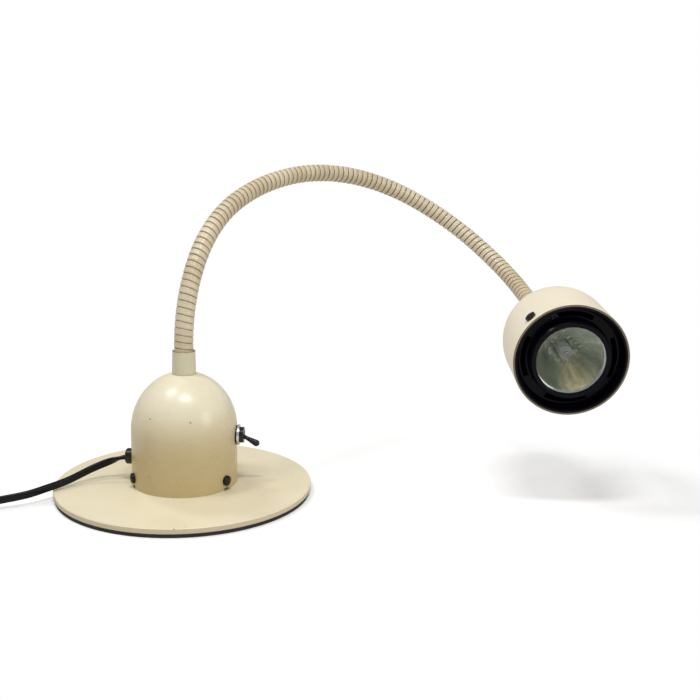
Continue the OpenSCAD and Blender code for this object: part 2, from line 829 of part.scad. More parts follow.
// a parabola from the rim, t = 0, to the lamp's neck, t = 1
function reflector_point(t, wall) =
    let (wide = lamp_r - 1.2 - wall, slim = lamp_neck_r + 0.4 - wall,
        deep = lip_back - 4, r = wide + (slim - wide) * t)
    [r, lamp_neck_z + wall * 0.9
        + (deep - lamp_neck_z) * (r * r - slim * slim) / (wide * wide - slim * slim)];

module lamp_glass() {
    color([0.85, 0.9, 0.9, 0.4]) at_head()
        translate([0, 0, lip_back - 0.12 - glass_t]) cylinder(r = glass_r, h = glass_t);
}

// quartz capsule in the reflector, and the two pins behind it
module lamp_capsule() {
    length = 20;
    at_head() {
        color([0.9, 0.92, 0.95]) translate([0, 0, lamp_neck_z - 3.9]) {
            cylinder(r = capsule_r, h = length - capsule_r);
            translate([0, 0, length - capsule_r]) sphere(r = capsule_r);
        }
        color("silver") for (s = [-1, 1])
            translate([s * pin_step / 2, 0, -lamp_len - pin_len])
                cylinder(r = pin_r, h = pin_len);
    }
}

base_pad();
base_plate();
chassis();
chassis_screws();
chassis_nuts();
housing();
housing_screws();
transformer_core();
transformer_bobbin();
primary_winding();
secondary_winding();
transformer_strap();
strap_screws();
terminal_block();
mains_leads();
lamp_lead_foot();
neck_nipple();
neck_washer();
neck_locknut();
ferrule();
switch_body();
switch_blades();
switch_bushing();
switch_gasket();
switch_washer();
switch_nut();
switch_lever();
cable_gland();
mains_cord();
cord_coil();
plug_body();
plug_pins();
neck_root();
for (i = [1:8]) neck_section(i);
for (i = [1:8]) lamp_lead(i);
shade();
shade_screws();
head_nipple();
head_locknut();
socket_bracket();
lamp_socket();
head_leads();
bezel();
lamp_reflector();
lamp_glass();
lamp_capsule();
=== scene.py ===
"""Gooseneck desk lamp: finishes, wound neck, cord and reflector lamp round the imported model.

World units are metres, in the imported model's own frame. Lengths of the lamp are written in
millimetres and multiplied by MM; the lights' and the floor's are in metres.
"""
import json
import random
from math import atan2, copysign, cos, exp, pi, radians, sin

import bmesh
import bpy
from mathutils import Matrix, Vector


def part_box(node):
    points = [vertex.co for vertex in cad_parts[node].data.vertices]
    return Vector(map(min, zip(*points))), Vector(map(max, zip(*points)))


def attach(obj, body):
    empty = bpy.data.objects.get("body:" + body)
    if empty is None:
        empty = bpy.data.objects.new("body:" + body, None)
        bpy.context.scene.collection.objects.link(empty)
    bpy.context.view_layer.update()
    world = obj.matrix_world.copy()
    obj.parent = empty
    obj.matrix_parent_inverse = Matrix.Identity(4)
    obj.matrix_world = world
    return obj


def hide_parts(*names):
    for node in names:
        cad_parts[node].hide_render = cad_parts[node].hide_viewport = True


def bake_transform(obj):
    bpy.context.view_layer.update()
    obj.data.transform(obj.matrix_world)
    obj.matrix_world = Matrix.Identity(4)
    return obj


MM = 0.001
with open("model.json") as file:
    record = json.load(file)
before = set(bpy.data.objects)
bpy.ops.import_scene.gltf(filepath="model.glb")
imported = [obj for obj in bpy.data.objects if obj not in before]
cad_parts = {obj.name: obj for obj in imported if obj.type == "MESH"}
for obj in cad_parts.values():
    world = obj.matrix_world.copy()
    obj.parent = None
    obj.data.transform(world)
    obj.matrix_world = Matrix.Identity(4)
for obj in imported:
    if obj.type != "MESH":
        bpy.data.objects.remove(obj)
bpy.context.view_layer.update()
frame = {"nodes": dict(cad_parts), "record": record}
# lengths below this count as nothing
TINY = 1e-7


# ---- camera, floor and light

EYE = Vector((115.81, -597.11, 219.38)) * MM
# focal length and sensor width, in millimetres as Blender takes them
LENS = 44.9
SENSOR = 36.0
PITCH = radians(10.9)
ROLL = radians(1.498)
WORLD_LIT = 0.40
# the floor's colour in reflected light and to the camera, and its own glow to the camera
FLOOR_COLOUR = (0.78, 0.78, 0.78)
FLOOR_SEEN = (0.86, 0.86, 0.86)
FLOOR_LIFT = 0.17
# half the floor's side, and how far it lies below the lamp
FLOOR_HALF = 6
FLOOR_DROP = 0.2 * MM
# from the middle outwards the camera sees the floor turn plain white; depth counts for more
FLOOR_MIDDLE = Vector((0.13, 0.02, 0))
FLOOR_STRETCH = Vector((1.0, 2.2, 1.0))
FLOOR_NEAR = 0.25
FLOOR_FAR = 0.35
# each area light's place, what it points at, its two sides and its power in watts
LIGHTS = {
    "key_left": ((-0.40, -0.13, 1.05), (0.03, 0, 0.05), (0.17, 0.26), 2.8),
    "key_front": ((0.12, -0.41, 1.04), (0.05, 0, 0.05), (0.36, 0.14), 4.6),
    "back_left": ((-0.50, 0.52, 1.00), (0, 0, 0.06), (0.18, 0.18), 2.0),
    "right_fill": ((1.30, -0.70, 0.55), (0.12, 0, 0.1), (0.5, 0.5), 4.4),
}


def new_object(name, data):
    """Object with the given data, linked to the scene."""
    obj = bpy.data.objects.new(name, data)
    bpy.context.collection.objects.link(obj)
    return obj


def set_camera():
    """Level view along +Y, tipped down by PITCH and rolled by ROLL."""
    data = bpy.data.cameras.new("camera")
    data.lens = LENS
    data.sensor_width = SENSOR
    data.sensor_fit = "HORIZONTAL"
    data.clip_start = 0.01
    camera = new_object("camera", data)
    tipped = Matrix.Rotation(pi / 2 - PITCH, 4, "X") @ Matrix.Rotation(ROLL, 4, "Z")
    camera.matrix_world = Matrix.Translation(EYE) @ tipped
    bpy.context.scene.camera = camera


def lights():
    """Two keys, a fill, and a light from behind that throws shadows but no highlight."""
    for name, (place, target, size, power) in LIGHTS.items():
        data = bpy.data.lights.new(name, "AREA")
        data.shape = "RECTANGLE"
        data.size, data.size_y = size
        data.energy = power
        lamp = new_object(name, data)
        lamp.location = place
        away = Vector(target) - lamp.location
        lamp.rotation_euler = away.to_track_quat("-Z", "Y").to_euler()
        lamp.visible_glossy = name != "back_left"


def fill(node, **values):
    """Sets a node's inputs to plain values; in their names _ stands for a space."""
    for label, value in values.items():
        socket = node.inputs[label.replace("_", " ")]
        socket.default_value = (*value, 1) if isinstance(value, tuple) else value


def white_world():
    """White to the camera, and a soft grey-white that lights and reflects."""
    world = bpy.data.worlds.new("studio")
    bpy.context.scene.world = world
    world.use_nodes = True
    tree = world.node_tree
    tree.nodes.clear()
    out = tree.nodes.new("ShaderNodeOutputWorld")
    mix = tree.nodes.new("ShaderNodeMixShader")
    path = tree.nodes.new("ShaderNodeLightPath")
    tree.links.new(path.outputs["Is Camera Ray"], mix.inputs["Fac"])
    for slot, strength in ((1, WORLD_LIT), (2, 1.0)):
        sky = tree.nodes.new("ShaderNodeBackground")
        fill(sky, Color=(1, 1, 1), Strength=strength)
        tree.links.new(sky.outputs[0], mix.inputs[slot])
    tree.links.new(mix.outputs[0], out.inputs["Surface"])


# ---- node helpers


def maths(tree, operation, a, b=None, clamp=False):
    """Math node on sockets or plain numbers; returns its output."""
    node = tree.nodes.new("ShaderNodeMath")
    node.operation = operation
    node.use_clamp = clamp
    for slot, value in zip(node.inputs, (a, b)):
        if value is None:
            continue
        if isinstance(value, (int, float)):
            slot.default_value = value
        else:
            tree.links.new(value, slot)
    return node.outputs[0]


def times(tree, a, b, clamp=False):
    """Product of two sockets or numbers."""
    return maths(tree, "MULTIPLY", a, b, clamp)


def vector_maths(tree, operation, a, b):
    """Vector Math node on sockets or plain vectors; returns its output."""
    node = tree.nodes.new("ShaderNodeVectorMath")
    node.operation = operation
    for slot, value in zip(node.inputs, (a, b)):
        if isinstance(value, Vector):
            slot.default_value = value
        else:
            tree.links.new(value, slot)
    return node.outputs["Value" if operation in ("DISTANCE", "DOT_PRODUCT") else "Vector"]


def ramp(tree, value, low, high):
    """Smooth 0 to 1 as value goes from low to high."""
    node = tree.nodes.new("ShaderNodeMapRange")
    node.interpolation_type = "SMOOTHSTEP"
    fill(node, From_Min=low, From_Max=high)
    tree.links.new(value, node.inputs["Value"])
    return node.outputs[0]


def blend(tree, factor, a, b):
    """Mix of two colours, each a socket or a tuple; factor is a socket."""
    node = tree.nodes.new("ShaderNodeMix")
    node.data_type = "RGBA"
    tree.links.new(factor, node.inputs[0])
    for slot, value in ((node.inputs[6], a), (node.inputs[7], b)):
        if isinstance(value, tuple):
            slot.default_value = (*value, 1)
        else:
            tree.links.new(value, slot)
    return node.outputs[2]


def noise(tree, coordinates, scale, detail=2.0, roughness=0.5):
    """Noise texture's value; scale is in waves to the metre."""
    node = tree.nodes.new("ShaderNodeTexNoise")
    fill(node, Scale=scale, Detail=detail, Roughness=roughness)
    tree.links.new(coordinates, node.inputs["Vector"])
    return node.outputs["Fac"]


def split(tree, vector):
    """X, Y and Z of a vector socket."""
    node = tree.nodes.new("ShaderNodeSeparateXYZ")
    tree.links.new(vector, node.inputs[0])
    return list(node.outputs)


def mesh_value(tree, name):
    """Value of one of the mesh's own attributes."""
    node = tree.nodes.new("ShaderNodeAttribute")
    node.attribute_name = name
    return node.outputs["Fac"]


def object_point(tree):
    """Place in the object's own frame."""
    return tree.nodes.new("ShaderNodeTexCoord").outputs["Object"]


# ---- floor


def floor():
    """Pale floor that keeps the lamp's shadow and turns plain white further out."""
    bm = bmesh.new()
    bmesh.ops.create_grid(bm, x_segments=1, y_segments=1, size=FLOOR_HALF)
    mesh = bpy.data.meshes.new("floor")
    bm.to_mesh(mesh)
    bm.free()
    obj = new_object("floor", mesh)
    obj.location = (0, 0, -FLOOR_DROP)
    material = bpy.data.materials.new("floor_white")
    material.use_nodes = True
    tree = material.node_tree
    tree.nodes.clear()
    out = tree.nodes.new("ShaderNodeOutputMaterial")
    diffuse = tree.nodes.new("ShaderNodeBsdfDiffuse")
    glow = tree.nodes.new("ShaderNodeEmission")
    white = tree.nodes.new("ShaderNodeEmission")
    total = tree.nodes.new("ShaderNodeAddShader")
    fade = tree.nodes.new("ShaderNodeMixShader")
    path = tree.nodes.new("ShaderNodeLightPath")
    seen = path.outputs["Is Camera Ray"]
    tree.links.new(blend(tree, seen, FLOOR_COLOUR, FLOOR_SEEN), diffuse.inputs["Color"])
    tree.links.new(times(tree, seen, FLOOR_LIFT), glow.inputs["Strength"])
    tree.links.new(diffuse.outputs[0], total.inputs[0])
    tree.links.new(glow.outputs[0], total.inputs[1])
    spot = vector_maths(tree, "MULTIPLY", object_point(tree), FLOOR_STRETCH)
    away = vector_maths(tree, "DISTANCE", spot, FLOOR_MIDDLE)
    far = ramp(tree, away, FLOOR_NEAR, FLOOR_FAR)
    tree.links.new(times(tree, seen, far), fade.inputs["Fac"])
    tree.links.new(total.outputs[0], fade.inputs[1])
    tree.links.new(white.outputs[0], fade.inputs[2])
    tree.links.new(fade.outputs[0], out.inputs["Surface"])
    mesh.materials.append(material)


# ---- node groups


def new_group(name, inputs, outputs):
    """Empty shader group with sockets by label and default; a tuple makes a colour socket."""
    group = bpy.data.node_groups.new(name, "ShaderNodeTree")
    for way, sockets in (("INPUT", inputs), ("OUTPUT", outputs)):
        for label, value in sockets.items():
            coloured = isinstance(value, tuple)
            kind = "NodeSocketColor" if coloured else "NodeSocketFloat"
            socket = group.interface.new_socket(label, in_out=way, socket_type=kind)
            socket.default_value = (*value, 1) if coloured else value
    return group, group.nodes.new("NodeGroupInput"), group.nodes.new("NodeGroupOutput")


def aged_enamel_group():
    """Old enamel: cloudy yellowing, sparse specks, uneven gloss and a slight orange peel."""
    group, start, end = new_group(
        "aged_enamel",
        {"Colour": (0.8, 0.7, 0.5), "Aged colour": (0.7, 0.58, 0.36),
         "Chip colour": (0.05, 0.04, 0.03), "Cloud": 0.5, "Specks": 0.5},
        {"Colour": (0.0, 0.0, 0.0), "Gloss loss": 0.0, "Peel": 0.0},
    )
    point = object_point(group)
    cloud = noise(group, point, 22, 3, 0.55)
    cloud = times(group, ramp(group, cloud, 0.35, 0.7), start.outputs["Cloud"])
    colour = blend(group, cloud, start.outputs["Colour"], start.outputs["Aged colour"])
    cells = group.nodes.new("ShaderNodeTexVoronoi")
    cells.inputs["Scale"].default_value = 95
    group.links.new(point, cells.inputs["Vector"])
    near = maths(group, "SUBTRACT", 1.0, ramp(group, cells.outputs["Distance"], 0.03, 0.075))
    sparse = ramp(group, noise(group, point, 60, 1), 0.60, 0.66)
    speck = times(group, times(group, near, sparse), start.outputs["Specks"], clamp=True)
    colour = blend(group, speck, colour, start.outputs["Chip colour"])
    group.links.new(colour, end.inputs["Colour"])
    smear = noise(group, point, 55, 4, 0.6)
    group.links.new(ramp(group, smear, 0.3, 0.75), end.inputs["Gloss loss"])
    group.links.new(noise(group, point, 900, 2), end.inputs["Peel"])


def fine_grain_group():
    """Moulded or rubbed surface: a fine grain for bump and a slow change of tone."""
    group, start, end = new_group(
        "fine_grain",
        {"Colour": (0.02, 0.02, 0.02), "Worn colour": (0.05, 0.05, 0.05), "Scale": 900.0,
         "Wear": 0.4},
        {"Colour": (0.0, 0.0, 0.0), "Grain": 0.0},
    )
    point = object_point(group)
    worn = times(group, ramp(group, noise(group, point, 70, 4, 0.6), 0.4, 0.75),
                 start.outputs["Wear"])
    colour = blend(group, worn, start.outputs["Colour"], start.outputs["Worn colour"])
    group.links.new(colour, end.inputs["Colour"])
    grain = group.nodes.new("ShaderNodeTexNoise")
    grain.inputs["Detail"].default_value = 3
    group.links.new(point, grain.inputs["Vector"])
    group.links.new(start.outputs["Scale"], grain.inputs["Scale"])
    group.links.new(grain.outputs["Fac"], end.inputs["Grain"])


def use_group(tree, name, **values):
    """Node of a shared group, with its inputs set from plain values."""
    node = tree.nodes.new("ShaderNodeGroup")
    node.node_tree = bpy.data.node_groups[name]
    fill(node, **values)
    return node


# ---- materials


def blank_material(name, roughness, metallic=0.0, specular=0.5):
    """New material; returns it with its tree and its Principled shader."""
    material = bpy.data.materials.new(name)
    material.use_nodes = True
    shader = material.node_tree.nodes["Principled BSDF"]
    fill(shader, Roughness=roughness, Metallic=metallic, Specular_IOR_Level=specular)
    return material, material.node_tree, shader


def bump(tree, height, shader, strength, normal=None):
    """Bump of up to BUMP_DEPTH, on the mesh's normal or the one given."""
    node = tree.nodes.new("ShaderNodeBump")
    if normal:
        tree.links.new(normal, node.inputs["Normal"])
    fill(node, Strength=strength, Distance=BUMP_DEPTH)
    tree.links.new(height, node.inputs["Height"])
    tree.links.new(node.outputs["Normal"], shader.inputs["Normal"])


def marks(tree, colour, mark_colour, places):
    """Lays small ragged chips over colour; places are (x, y, z, radius) in millimetres."""
    point = object_point(tree)
    ragged = times(tree, noise(tree, point, 1500), CHIP_RAGGED)
    worn = None
    for x, y, z, radius in places:
        gap = vector_maths(tree, "DISTANCE", point, Vector((x, y, z)) * MM)
        reach = maths(tree, "ADD", gap, ragged)
        chip = maths(tree, "SUBTRACT", 1.0, ramp(tree, reach, radius * MM, radius * 1.5 * MM))
        worn = chip if worn is None else maths(tree, "MAXIMUM", worn, chip)
    return blend(tree, worn, colour, mark_colour)


def domed_normal(tree):
    """Normal of the housing's round wall and elliptical dome, smoother than its facets."""
    low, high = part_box("housing")
    dome_from, radius = float(low[2]) + WALL_H, float(high[0])
    x, y, z = split(tree, object_point(tree))
    rise = maths(tree, "MAXIMUM", maths(tree, "SUBTRACT", z, dome_from), 0.0)
    steep = times(tree, rise, (radius / DOME_RISE) ** 2)
    joined = tree.nodes.new("ShaderNodeCombineXYZ")
    for value, slot in zip((x, y, steep), joined.inputs):
        tree.links.new(value, slot)
    change = tree.nodes.new("ShaderNodeVectorTransform")
    change.vector_type = "NORMAL"
    change.convert_from = "OBJECT"
    change.convert_to = "WORLD"
    tree.links.new(joined.outputs[0], change.inputs[0])
    return change.outputs[0]


def enamel(name, colour, aged, cloud=0.6, specks=0.7, gloss=0.36, foot=None, chips=(),
           edge=None, domed=False):
    """Stove enamel on sheet steel, with chips, a foot painted darker and yellower as shade and
    warm bounced light, sides painted darker as shade, or a dome.
    """
    material, tree, shader = blank_material(name, gloss)
    age = use_group(tree, "aged_enamel", Colour=colour, Aged_colour=aged, Cloud=cloud,
                    Specks=specks)
    paint = age.outputs["Colour"]
    # painted light: low on the wall the colour turns to the foot colour, as shade and warm light
    # bounced from the plate
    if foot:
        height = ramp(tree, split(tree, object_point(tree))[2], FOOT_LOW, FOOT_HIGH)
        keep = maths(tree, "ADD", times(tree, height, 1 - FOOT_MIX), FOOT_MIX)
        paint = blend(tree, keep, foot, paint)
    for mark_colour, places in chips:
        paint = marks(tree, paint, mark_colour, places)
    # painted shade: faces that don't face up take the darker edge colour
    if edge:
        normal = tree.nodes.new("ShaderNodeTexCoord").outputs["Normal"]
        level = ramp(tree, split(tree, normal)[2], 0.3, 0.8)
        paint = blend(tree, level, edge, paint)
    tree.links.new(paint, shader.inputs["Base Color"])
    rough = maths(tree, "ADD", times(tree, age.outputs["Gloss loss"], 0.12), gloss)
    tree.links.new(rough, shader.inputs["Roughness"])
    bump(tree, age.outputs["Peel"], shader, 0.12, domed_normal(tree) if domed else None)
    return material


def shade_enamel():
    """Cream outside, with the inside painted black as shade and a dark line painted along the rim
    as shade.
    """
    material = enamel("shade_enamel", (0.84, 0.76, 0.60), (0.80, 0.70, 0.52), 0.4, 0.3)
    tree = material.node_tree
    shader = tree.nodes["Principled BSDF"]
    cream = shader.inputs["Base Color"].links[0].from_socket
    axis = (HEAD.to_3x3() @ Vector((0, 0, 1))).normalized()
    middle = HEAD @ Vector((0, 0, -SHADE_WALL))
    coordinates = tree.nodes.new("ShaderNodeTexCoord")
    offset = vector_maths(tree, "SUBTRACT", coordinates.outputs["Object"], middle)
    along = vector_maths(tree, "DOT_PRODUCT", offset, axis)
    # painted shade: a dark line along the rim's edge
    rim = ramp(tree, along, SHADE_WALL - RIM_FROM, SHADE_WALL - RIM_FULL)
    rim = times(tree, rim, 0.9)
    # painted shade: faces turned inwards, seen through the vent slots, are near black
    facing = vector_maths(tree, "DOT_PRODUCT", coordinates.outputs["Normal"], offset)
    inside = maths(tree, "LESS_THAN", facing, 0.0)
    colour = blend(tree, rim, cream, (0.10, 0.07, 0.035))
    colour = blend(tree, inside, colour, (0.012, 0.012, 0.012))
    tree.links.new(colour, shader.inputs["Base Color"])
    return material


def grained(name, colour, worn, roughness, metallic=0.0, specular=0.5, scale=900.0, wear=0.4,
            depth=0.15):
    """Plastic, rubber or plain metal with a fine grain."""
    material, tree, shader = blank_material(name, roughness, metallic, specular)
    grain = use_group(tree, "fine_grain", Colour=colour, Worn_colour=worn, Scale=scale, Wear=wear)
    tree.links.new(grain.outputs["Colour"], shader.inputs["Base Color"])
    bump(tree, grain.outputs["Grain"], shader, depth)
    return material


def ribbed_enamel():
    """Enamel on the wound neck, with dust and painted shade in the grooves from the mesh's own
    mask.
    """
    material, tree, shader = blank_material("neck_enamel", 0.32)
    age = use_group(tree, "aged_enamel", Colour=(0.69, 0.60, 0.43), Aged_colour=(0.53, 0.43, 0.27),
                    Cloud=0.8, Specks=0.0)
    # the grooves are darkened as dust and as painted shade, by the groove mask and patchy noise
    unevenness = noise(tree, object_point(tree), 160, 3)
    dirt_and_shade = times(tree, mesh_value(tree, "groove"),
                 maths(tree, "ADD", times(tree, unevenness, 0.6), 0.65), clamp=True)
    colour = blend(tree, dirt_and_shade, age.outputs["Colour"], (0.15, 0.105, 0.05))
    tree.links.new(colour, shader.inputs["Base Color"])
    bump(tree, age.outputs["Peel"], shader, 0.05)
    return material


def ferrule_enamel():
    """Greener enamel, worn to brown primer along the top lip, and painted darker in a band at its
    foot.
    """
    material, tree, shader = blank_material("ferrule_enamel", 0.45)
    age = use_group(tree, "aged_enamel", Colour=(0.66, 0.61, 0.43), Aged_colour=(0.54, 0.49, 0.32),
                    Cloud=0.6, Specks=0.4)
    point = object_point(tree)
    height = split(tree, point)[2]
    foot, lip = (float(corner[2]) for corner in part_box("ferrule"))
    ragged = times(tree, noise(tree, point, 500, 3), LIP_RAGGED)
    worn = ramp(tree, maths(tree, "ADD", height, ragged), lip + LIP_FROM, lip + LIP_FULL)
    # a darker brown band painted at the foot, where it meets the housing
    foot_band = maths(tree, "SUBTRACT", 1.0, ramp(tree, height, foot + BAND_FULL, foot + BAND_TO))
    colour = blend(tree, worn, age.outputs["Colour"], (0.30, 0.17, 0.10))
    colour = blend(tree, times(tree, foot_band, 0.7), colour, (0.30, 0.22, 0.12))
    tree.links.new(colour, shader.inputs["Base Color"])
    bump(tree, age.outputs["Peel"], shader, 0.15)
    return material


def dichroic():
    """Coated grey-green mirror with painted reflections: lighter towards one side, straw-coloured
    opposite, some facets darker.
    """
    metallic, hazy = 0.85, 0.8
    material, tree, shader = blank_material("dichroic_mirror", 0.24, metallic)
    # the mesh's masks paint reflections: a straw-coloured one, a lighter one, and darker single
    # facets
    painted_sheen, painted_fan, facet = (mesh_value(tree, label) for label in ("painted_sheen", "painted_fan", "facet"))
    tone = ramp(tree, noise(tree, object_point(tree), 420, 2), 0.35, 0.7)
    colour = blend(tree, tone, (0.32, 0.39, 0.31), (0.45, 0.49, 0.37))
    colour = blend(tree, painted_sheen, colour, (0.88, 0.97, 0.80))
    colour = blend(tree, painted_fan, colour, (1.0, 0.86, 0.50))
    dim = times(tree, facet, 0.5)
    colour = blend(tree, dim, colour, (0.13, 0.14, 0.10))
    tree.links.new(colour, shader.inputs["Base Color"])
    # where reflections are painted, the mirror is made less metallic
    milky = maths(tree, "MAXIMUM", painted_sheen, painted_fan)
    tree.links.new(maths(tree, "SUBTRACT", metallic, times(tree, milky, hazy)),
                   shader.inputs["Metallic"])
    return material


def clear(name, colour, ior, roughness, transmission=1.0, alpha=1.0):
    """Clear glass, very slightly uneven in tint; a lower alpha lets more light through."""
    material, tree, shader = blank_material(name, roughness)
    fill(shader, Alpha=alpha, IOR=ior, Transmission_Weight=transmission)
    tint = ramp(tree, noise(tree, object_point(tree), 120, 2), 0.3, 0.7)
    shade = blend(tree, tint, colour, tuple(c * 0.985 for c in colour))
    tree.links.new(shade, shader.inputs["Base Color"])
    return material


def ringed_quartz():
    """Clear quartz whose moulded tip has dark rings painted on it as shade."""
    material = clear("quartz", (0.90, 0.92, 0.91), 1.46, 0.03, 0.45)
    tree = material.node_tree
    shader = tree.nodes["Principled BSDF"]
    tint = shader.inputs["Base Color"].links[0].from_socket
    colour = blend(tree, mesh_value(tree, "ring"), tint, (0.05, 0.055, 0.05))
    tree.links.new(colour, shader.inputs["Base Color"])
    return material


MATERIALS = {}
BUMP_DEPTH = 0.2 * MM
CHIP_RAGGED = 0.5 * MM
# the ferrule's paint starts to be rubbed off and is gone where its height, raised by noise of up
# to the third length, passes the lip by the first and the second
LIP_FROM, LIP_FULL, LIP_RAGGED = 0.161 * MM, 0.461 * MM, 1.2 * MM
# heights above the ferrule's foot between which its darker band fades
BAND_FULL, BAND_TO = 0.2 * MM, 0.6 * MM
# the housing's enamel is painted darkest and yellowest below the first height, as shade and warm
# light bounced from the plate, and palest above the second
FOOT_LOW, FOOT_HIGH = 30 * MM, 77 * MM
# share of the upper colour that is left at its foot
FOOT_MIX = 0.15
# straight wall of the housing and of the shade, and the rise of the housing's dome
WALL_H, DOME_RISE = 39 * MM, 40.6 * MM
SHADE_WALL = 41 * MM
# the painted shade line along the shade's rim starts and is full at these distances from the edge
RIM_FROM, RIM_FULL = 0.45 * MM, 0.1 * MM
# chips by colour, each as x, y, z and radius in millimetres
PLATE_CHIPS = (
    ((0.07, 0.04, 0.025), ((-26.0, -86.1, 5.2, 0.7), (10.1, -89.4, 5.6, 0.8),
                           (56.1, -70.4, 4.3, 0.7))),
    ((0.36, 0.26, 0.16), ((15.6, -84.4, 6.3, 0.5), (41.5, -79.9, 5.5, 0.45),
                          (39.5, 3.0, 6.3, 0.6))),
)
HOUSING_CHIPS = (
    ((0.24, 0.22, 0.14), ((-17.4, -30.0, 59.3, 0.65),)),
    ((0.46, 0.33, 0.16), ((10.4, -33.4, 58.3, 0.8), (-18.3, -32.1, 19.2, 1.0))),
)


# grained()'s values by slot
GRAINED = {
    "pad_rubber": ("pad_rubber", (0.018, 0.018, 0.02), (0.05, 0.05, 0.055), 0.8, 0.0, 0.5, 1200),
    "bezel_paint": ("bezel_enamel", (0.002, 0.002, 0.004), (0.005, 0.005, 0.008),
        0.2, 0.0, 0.1, 500, 0.3, 0.03),
    "black_screw": ("black_screw", (0.005, 0.004, 0.004), (0.018, 0.014, 0.012), 0.3, 0.0, 0.3),
    "zinc_steel": ("zinc_steel", (0.55, 0.56, 0.57), (0.4, 0.4, 0.42), 0.35, 1.0, 0.5, 600),
    "core_steel": ("core_laminations", (0.16, 0.16, 0.17), (0.1, 0.07, 0.05), 0.5, 0.8),
    "winding_copper": ("enamelled_copper", (0.45, 0.17, 0.05), (0.3, 0.1, 0.03),
        0.35, 0.7, 0.5, 400),
    "moulding_ivory": ("ivory_nylon", (0.7, 0.66, 0.54), (0.6, 0.54, 0.4), 0.5),
    "lead_black": ("black_lead", (0.02, 0.02, 0.02), (0.04, 0.04, 0.04), 0.5),
    "lead_colour": ("brown_lead", (0.12, 0.06, 0.03), (0.16, 0.1, 0.06), 0.45),
    "switch_moulding": ("phenolic", (0.02, 0.018, 0.016), (0.04, 0.035, 0.03), 0.5),
    "switch_brass": ("bare_brass", (0.6, 0.43, 0.16), (0.4, 0.28, 0.1), 0.35, 1.0, 0.5, 500),
    "switch_nickel": ("nickel_plate", (0.78, 0.78, 0.8), (0.6, 0.6, 0.62),
        0.28, 1.0, 0.5, 500, 0.5),
    "switch_black": ("switch_black", (0.005, 0.005, 0.006), (0.016, 0.016, 0.018), 0.25, 0.0, 0.4),
    "gland_black": ("gland_nylon", (0.006, 0.006, 0.007), (0.016, 0.016, 0.017), 0.28, 0.0, 0.4),
    "cord_black": ("cord_vinyl", (0.003, 0.003, 0.005), (0.008, 0.008, 0.011),
        0.3, 0.0, 0.2, 700, 0.5),
    "plug_metal": ("plug_nickel", (0.72, 0.71, 0.7), (0.55, 0.53, 0.5), 0.3, 1.0, 0.5, 500, 0.5),
    "socket_ceramic": ("steatite", (0.78, 0.76, 0.7), (0.66, 0.63, 0.56), 0.6),
    "plug_vinyl": ("plug_vinyl", (0.014, 0.014, 0.015), (0.03, 0.03, 0.03), 0.45, 0.0, 0.5, 600),
    "tungsten": ("tungsten", (0.3, 0.3, 0.32), (0.2, 0.2, 0.22), 0.3, 1.0),
    "lamp_back": ("lamp_back", (0.5, 0.52, 0.5), (0.4, 0.42, 0.4), 0.25, 0.6),
    "mirror_rim": ("mirror_rim", (0.5, 0.52, 0.46), (0.3, 0.32, 0.3), 0.25, 0.9),
    # near black, painted as shade inside the lamp's neck hole
    "painted_bore_shade": ("painted_bore_shade", (0.03, 0.03, 0.028), (0.07, 0.068, 0.06), 0.4),
    # bright bluish, a painted highlight on the cover glass's edge
    "glass_edge_glint": ("glass_edge_glint", (0.62, 0.74, 0.8), (0.5, 0.62, 0.7), 0.12, 0.6),
}


def make_materials():
    """Makes the groups, and fills MATERIALS by the record's slots and by names used below."""
    aged_enamel_group()
    fine_grain_group()
    MATERIALS.update({slot: grained(*row) for slot, row in GRAINED.items()})
    MATERIALS.update(
        # the housing's foot colour is painted shade and warm bounced light
        housing_paint=enamel("housing_enamel", (0.80, 0.74, 0.56), (0.70, 0.62, 0.42), gloss=0.24,
                             foot=(0.49, 0.375, 0.165), chips=HOUSING_CHIPS, domed=True),
        # the plate's edge colour is painted shade on its sides
        plate_paint=enamel("plate_enamel", (0.79, 0.71, 0.51), (0.72, 0.62, 0.42), 0.5, 0.8,
                           gloss=0.4, chips=PLATE_CHIPS, edge=(0.60, 0.51, 0.34)),
        shade_paint=shade_enamel(),
        ferrule_paint=ferrule_enamel(),
        neck_paint=ribbed_enamel(),
        dichroic_mirror=dichroic(),
        clear_glass=clear("cover_glass", (0.97, 0.99, 0.98), 1.45, 0.0, alpha=0.35),
        quartz=ringed_quartz(),
    )
    MATERIALS.update(reflector_glass=MATERIALS["lamp_back"], quartz_glass=MATERIALS["quartz"])


def paint_nodes():
    """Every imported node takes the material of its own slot, but the bushing is blackened."""
    for part in frame["record"]["subparts"]:
        blackened = part["node"] == "switch_bushing"
        slot = "switch_black" if blackened else part["material_slot"]
        frame["nodes"][part["node"]].data.materials[0] = MATERIALS[slot]


# ---- meshes


def add_piece(name, verts, faces, material, body, smooth=True, node_names=()):
    """Mesh object in a named material, riding on a body and standing for the named nodes."""
    mesh = bpy.data.meshes.new(name)
    mesh.from_pydata([tuple(v) for v in verts], [], faces, shade_flat=not smooth)
    mesh.validate()
    mesh.materials.append(MATERIALS[material])
    obj = new_object(name, mesh)
    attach(obj, body)
    if node_names:
        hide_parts(*node_names)
    return obj


def smoothstep(t):
    """Smooth 0 to 1 as t goes from 0 to 1."""
    t = min(max(t, 0.0), 1.0)
    return t * t * (3 - 2 * t)


def catmull(points, steps):
    """Smooth line through points, with this many steps between neighbours."""
    line = []
    last = len(points) - 1
    for i in range(last):
        a, b = points[max(i - 1, 0)], points[i]
        c, d = points[i + 1], points[min(i + 2, last)]
        for k in range(steps):
            t = k / steps
            line.append(0.5 * (2 * b + (c - a) * t + (2 * a - 5 * b + 4 * c - d) * t * t
                               + (3 * b - a - 3 * c + d) * t ** 3))
    line.append(points[-1])
    return line


